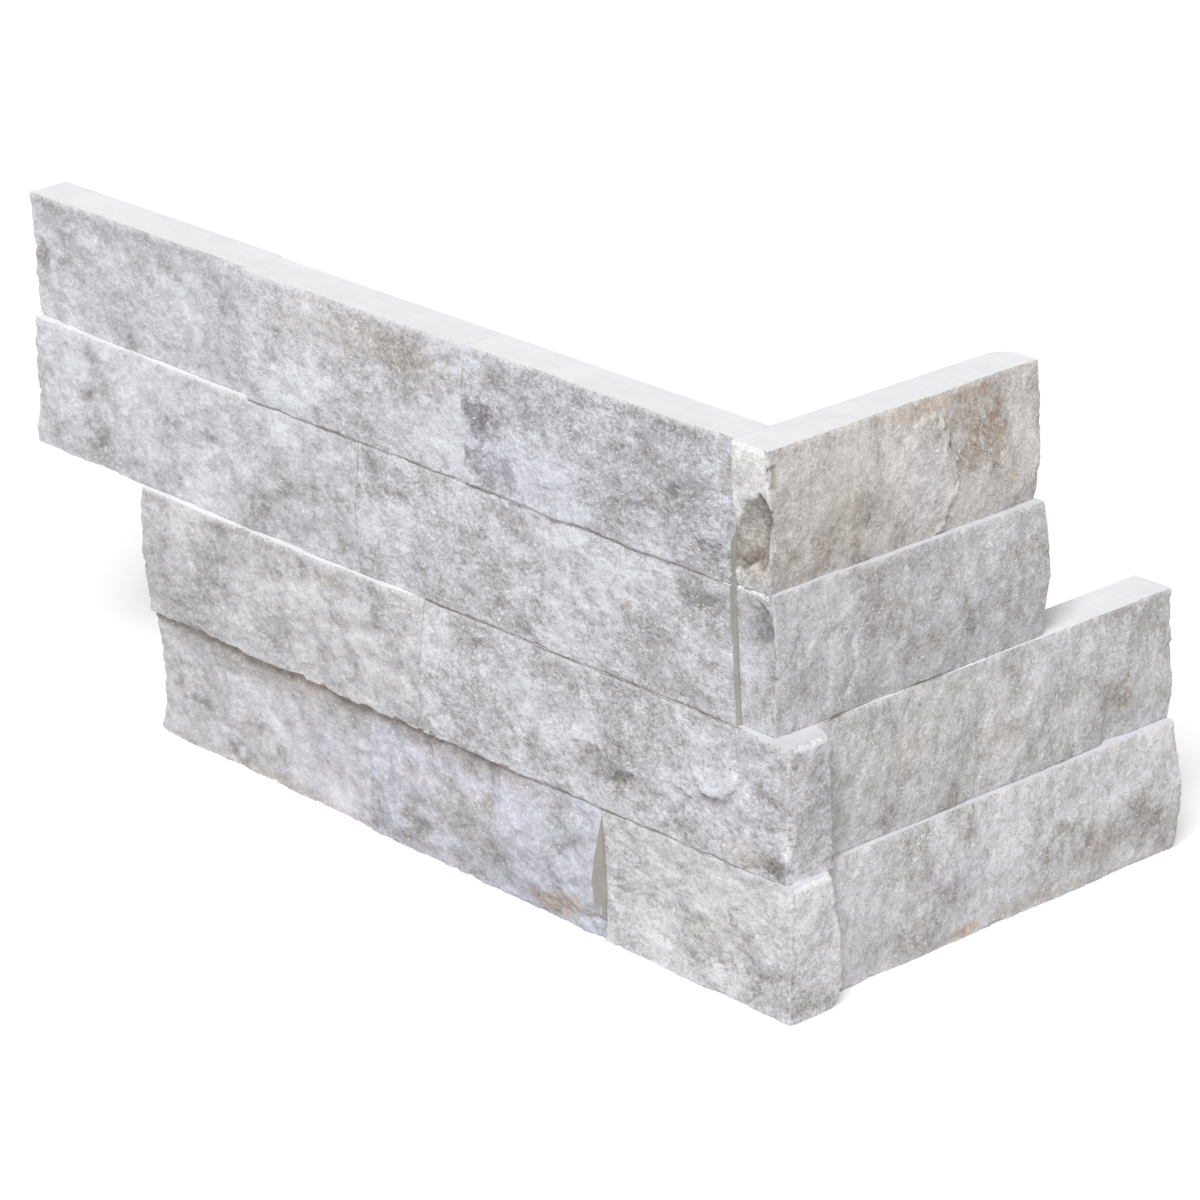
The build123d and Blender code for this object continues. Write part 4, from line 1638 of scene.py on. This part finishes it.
@dataclass
class Studio:
    """Pale floor, soft light and the camera at the photograph's viewing angle."""

    floor_half: float = 6.0  # half the floor's side, metres
    azimuth: float = 0.898931211  # the camera's angles, radians
    elevation: float = 0.378616631
    roll: float = -0.0535195247
    aside: float = -0.0486166  # the camera's place from the origin, metres, to the picture's right
    above: float = 0.0969458  # towards the picture's top
    distance: float = 1.187596  # and towards the viewer
    focal_pixels: float = 4674.608  # focal length in pixels of the photograph
    image_pixels: float = 1200.0  # the photograph's width
    sensor: float = 36.0  # the sensor's width, mm
    clip: Pair = (0.05, 50.0)
    world_light: float = 0.36  # even light on the object, where the background is 1
    sun_from: Triple = (0.30, -0.38, 0.58)  # the way to the lamp
    sun_strength: float = 2.375
    sun_angle: float = 0.35  # how wide the lamp looks, radians
    floor_colour: Colour = (0.68, 0.68, 0.68)
    floor_roughness: float = 0.95
    floor_glow: float = 0.40  # light that the floor itself adds to the background's rays

    def build(self) -> None:
        """Sets the floor, the light and the camera."""
        self.floor()
        self.light()
        self.camera()
        bpy.context.scene.view_settings.view_transform = "Standard"

    def floor(self) -> None:
        """Makes the floor, with the object's shadow on it, white to the camera."""
        half = self.floor_half
        mesh = bpy.data.meshes.new("floor")
        corners = [(-half, -half, 0.0), (half, -half, 0.0), (half, half, 0.0), (-half, half, 0.0)]
        mesh.from_pydata(corners, [], [(0, 1, 2, 3)])
        floor = link("floor", mesh)
        material, make, shader = start_material("floor_paper")
        shader["Base Color"].default_value = (*self.floor_colour, 1.0)
        shader["Roughness"].default_value = self.floor_roughness
        shader["Specular IOR Level"].default_value = 0.0
        shader["Emission Color"].default_value = (1.0, 1.0, 1.0, 1.0)
        glow = make.maths("MULTIPLY", self.background_rays(make), self.floor_glow)
        make.join(glow, shader["Emission Strength"])
        mesh.materials.append(material)

    def background_rays(self, make: Shader) -> bpy.types.NodeSocket:
        """Picks the rays that see the background: from the camera, in gloss and through glass.

        Args:
            make: the helper for the nodes.

        Returns:
            1 for those rays, 0 for the others.
        """
        rays = make.add("ShaderNodeLightPath").outputs
        seen = make.maths("MAXIMUM", rays["Is Camera Ray"], rays["Is Glossy Ray"])
        return make.maths("MAXIMUM", seen, rays["Is Transmission Ray"])

    def light(self) -> None:
        """Sets the world's even light and one broad soft lamp from the upper right front."""
        world = bpy.data.worlds.new("studio_world")
        bpy.context.scene.world = world
        world.use_nodes = True
        make = Shader(world.node_tree)
        background = world.node_tree.nodes["Background"]
        background.inputs["Color"].default_value = (1.0, 1.0, 1.0, 1.0)
        seen = self.background_rays(make)
        strength = make.maths("ADD", make.maths("MULTIPLY", seen, 1.0 - self.world_light), self.world_light)
        make.join(strength, background.inputs["Strength"])
        data = bpy.data.lights.new("broad_sun", "SUN")
        data.energy = self.sun_strength
        data.angle = self.sun_angle
        link("broad_sun", data).rotation_euler = Vector(self.sun_from).to_track_quat("Z", "Y").to_euler()

    def camera(self) -> None:
        """Places the camera as the photograph was taken."""
        az, el, roll = self.azimuth, self.elevation, self.roll
        back = Vector((math.sin(az) * math.cos(el), -math.cos(az) * math.cos(el), math.sin(el)))
        level = Vector((math.cos(az), math.sin(az), 0.0))
        upright = back.cross(level)
        right = level * math.cos(roll) + upright * math.sin(roll)
        up = upright * math.cos(roll) - level * math.sin(roll)
        data = bpy.data.cameras.new("photo_camera")
        data.sensor_width = self.sensor
        data.lens = self.focal_pixels / self.image_pixels * self.sensor
        data.clip_start, data.clip_end = self.clip
        camera = link("photo_camera", data)
        turn = Matrix((right, up, back)).transposed().to_4x4()
        camera.matrix_world = Matrix.Translation(right * self.aside + up * self.above + back * self.distance) @ turn
        bpy.context.scene.camera = camera


def main() -> None:
    """Builds the strips, the floor, the light and the camera."""
    logging.basicConfig(level=logging.INFO, format="%(name)s: %(message)s")
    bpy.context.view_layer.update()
    groups = Groups()
    beds = SawnFinish("sawn_beds", from_screen(246, 246, 248), from_screen(236, 236, 238))
    ends = SawnFinish("sawn_ends", from_screen(210, 207, 202), from_screen(196, 193, 187), (0.9, 0.9, 0.05))
    # a greyer copy of the beds: painted shade on ledges under the course above
    ledges = SawnFinish("ledges_in_painted_shade", from_screen(228, 228, 233), from_screen(214, 214, 220))
    # darker sawn ends: painted shade in the gaps beside the corner
    near = SawnFinish("gap_ends_in_painted_shade", from_screen(188, 185, 179), from_screen(168, 163, 155), (0.9, 0.9, 0.05))
    panel = LedgerCorner(groups, [finish.material(groups) for finish in (beds, ends, ledges, near)])
    pieces = panel.build()
    Studio().build()


if __name__ == "__main__":
    main()
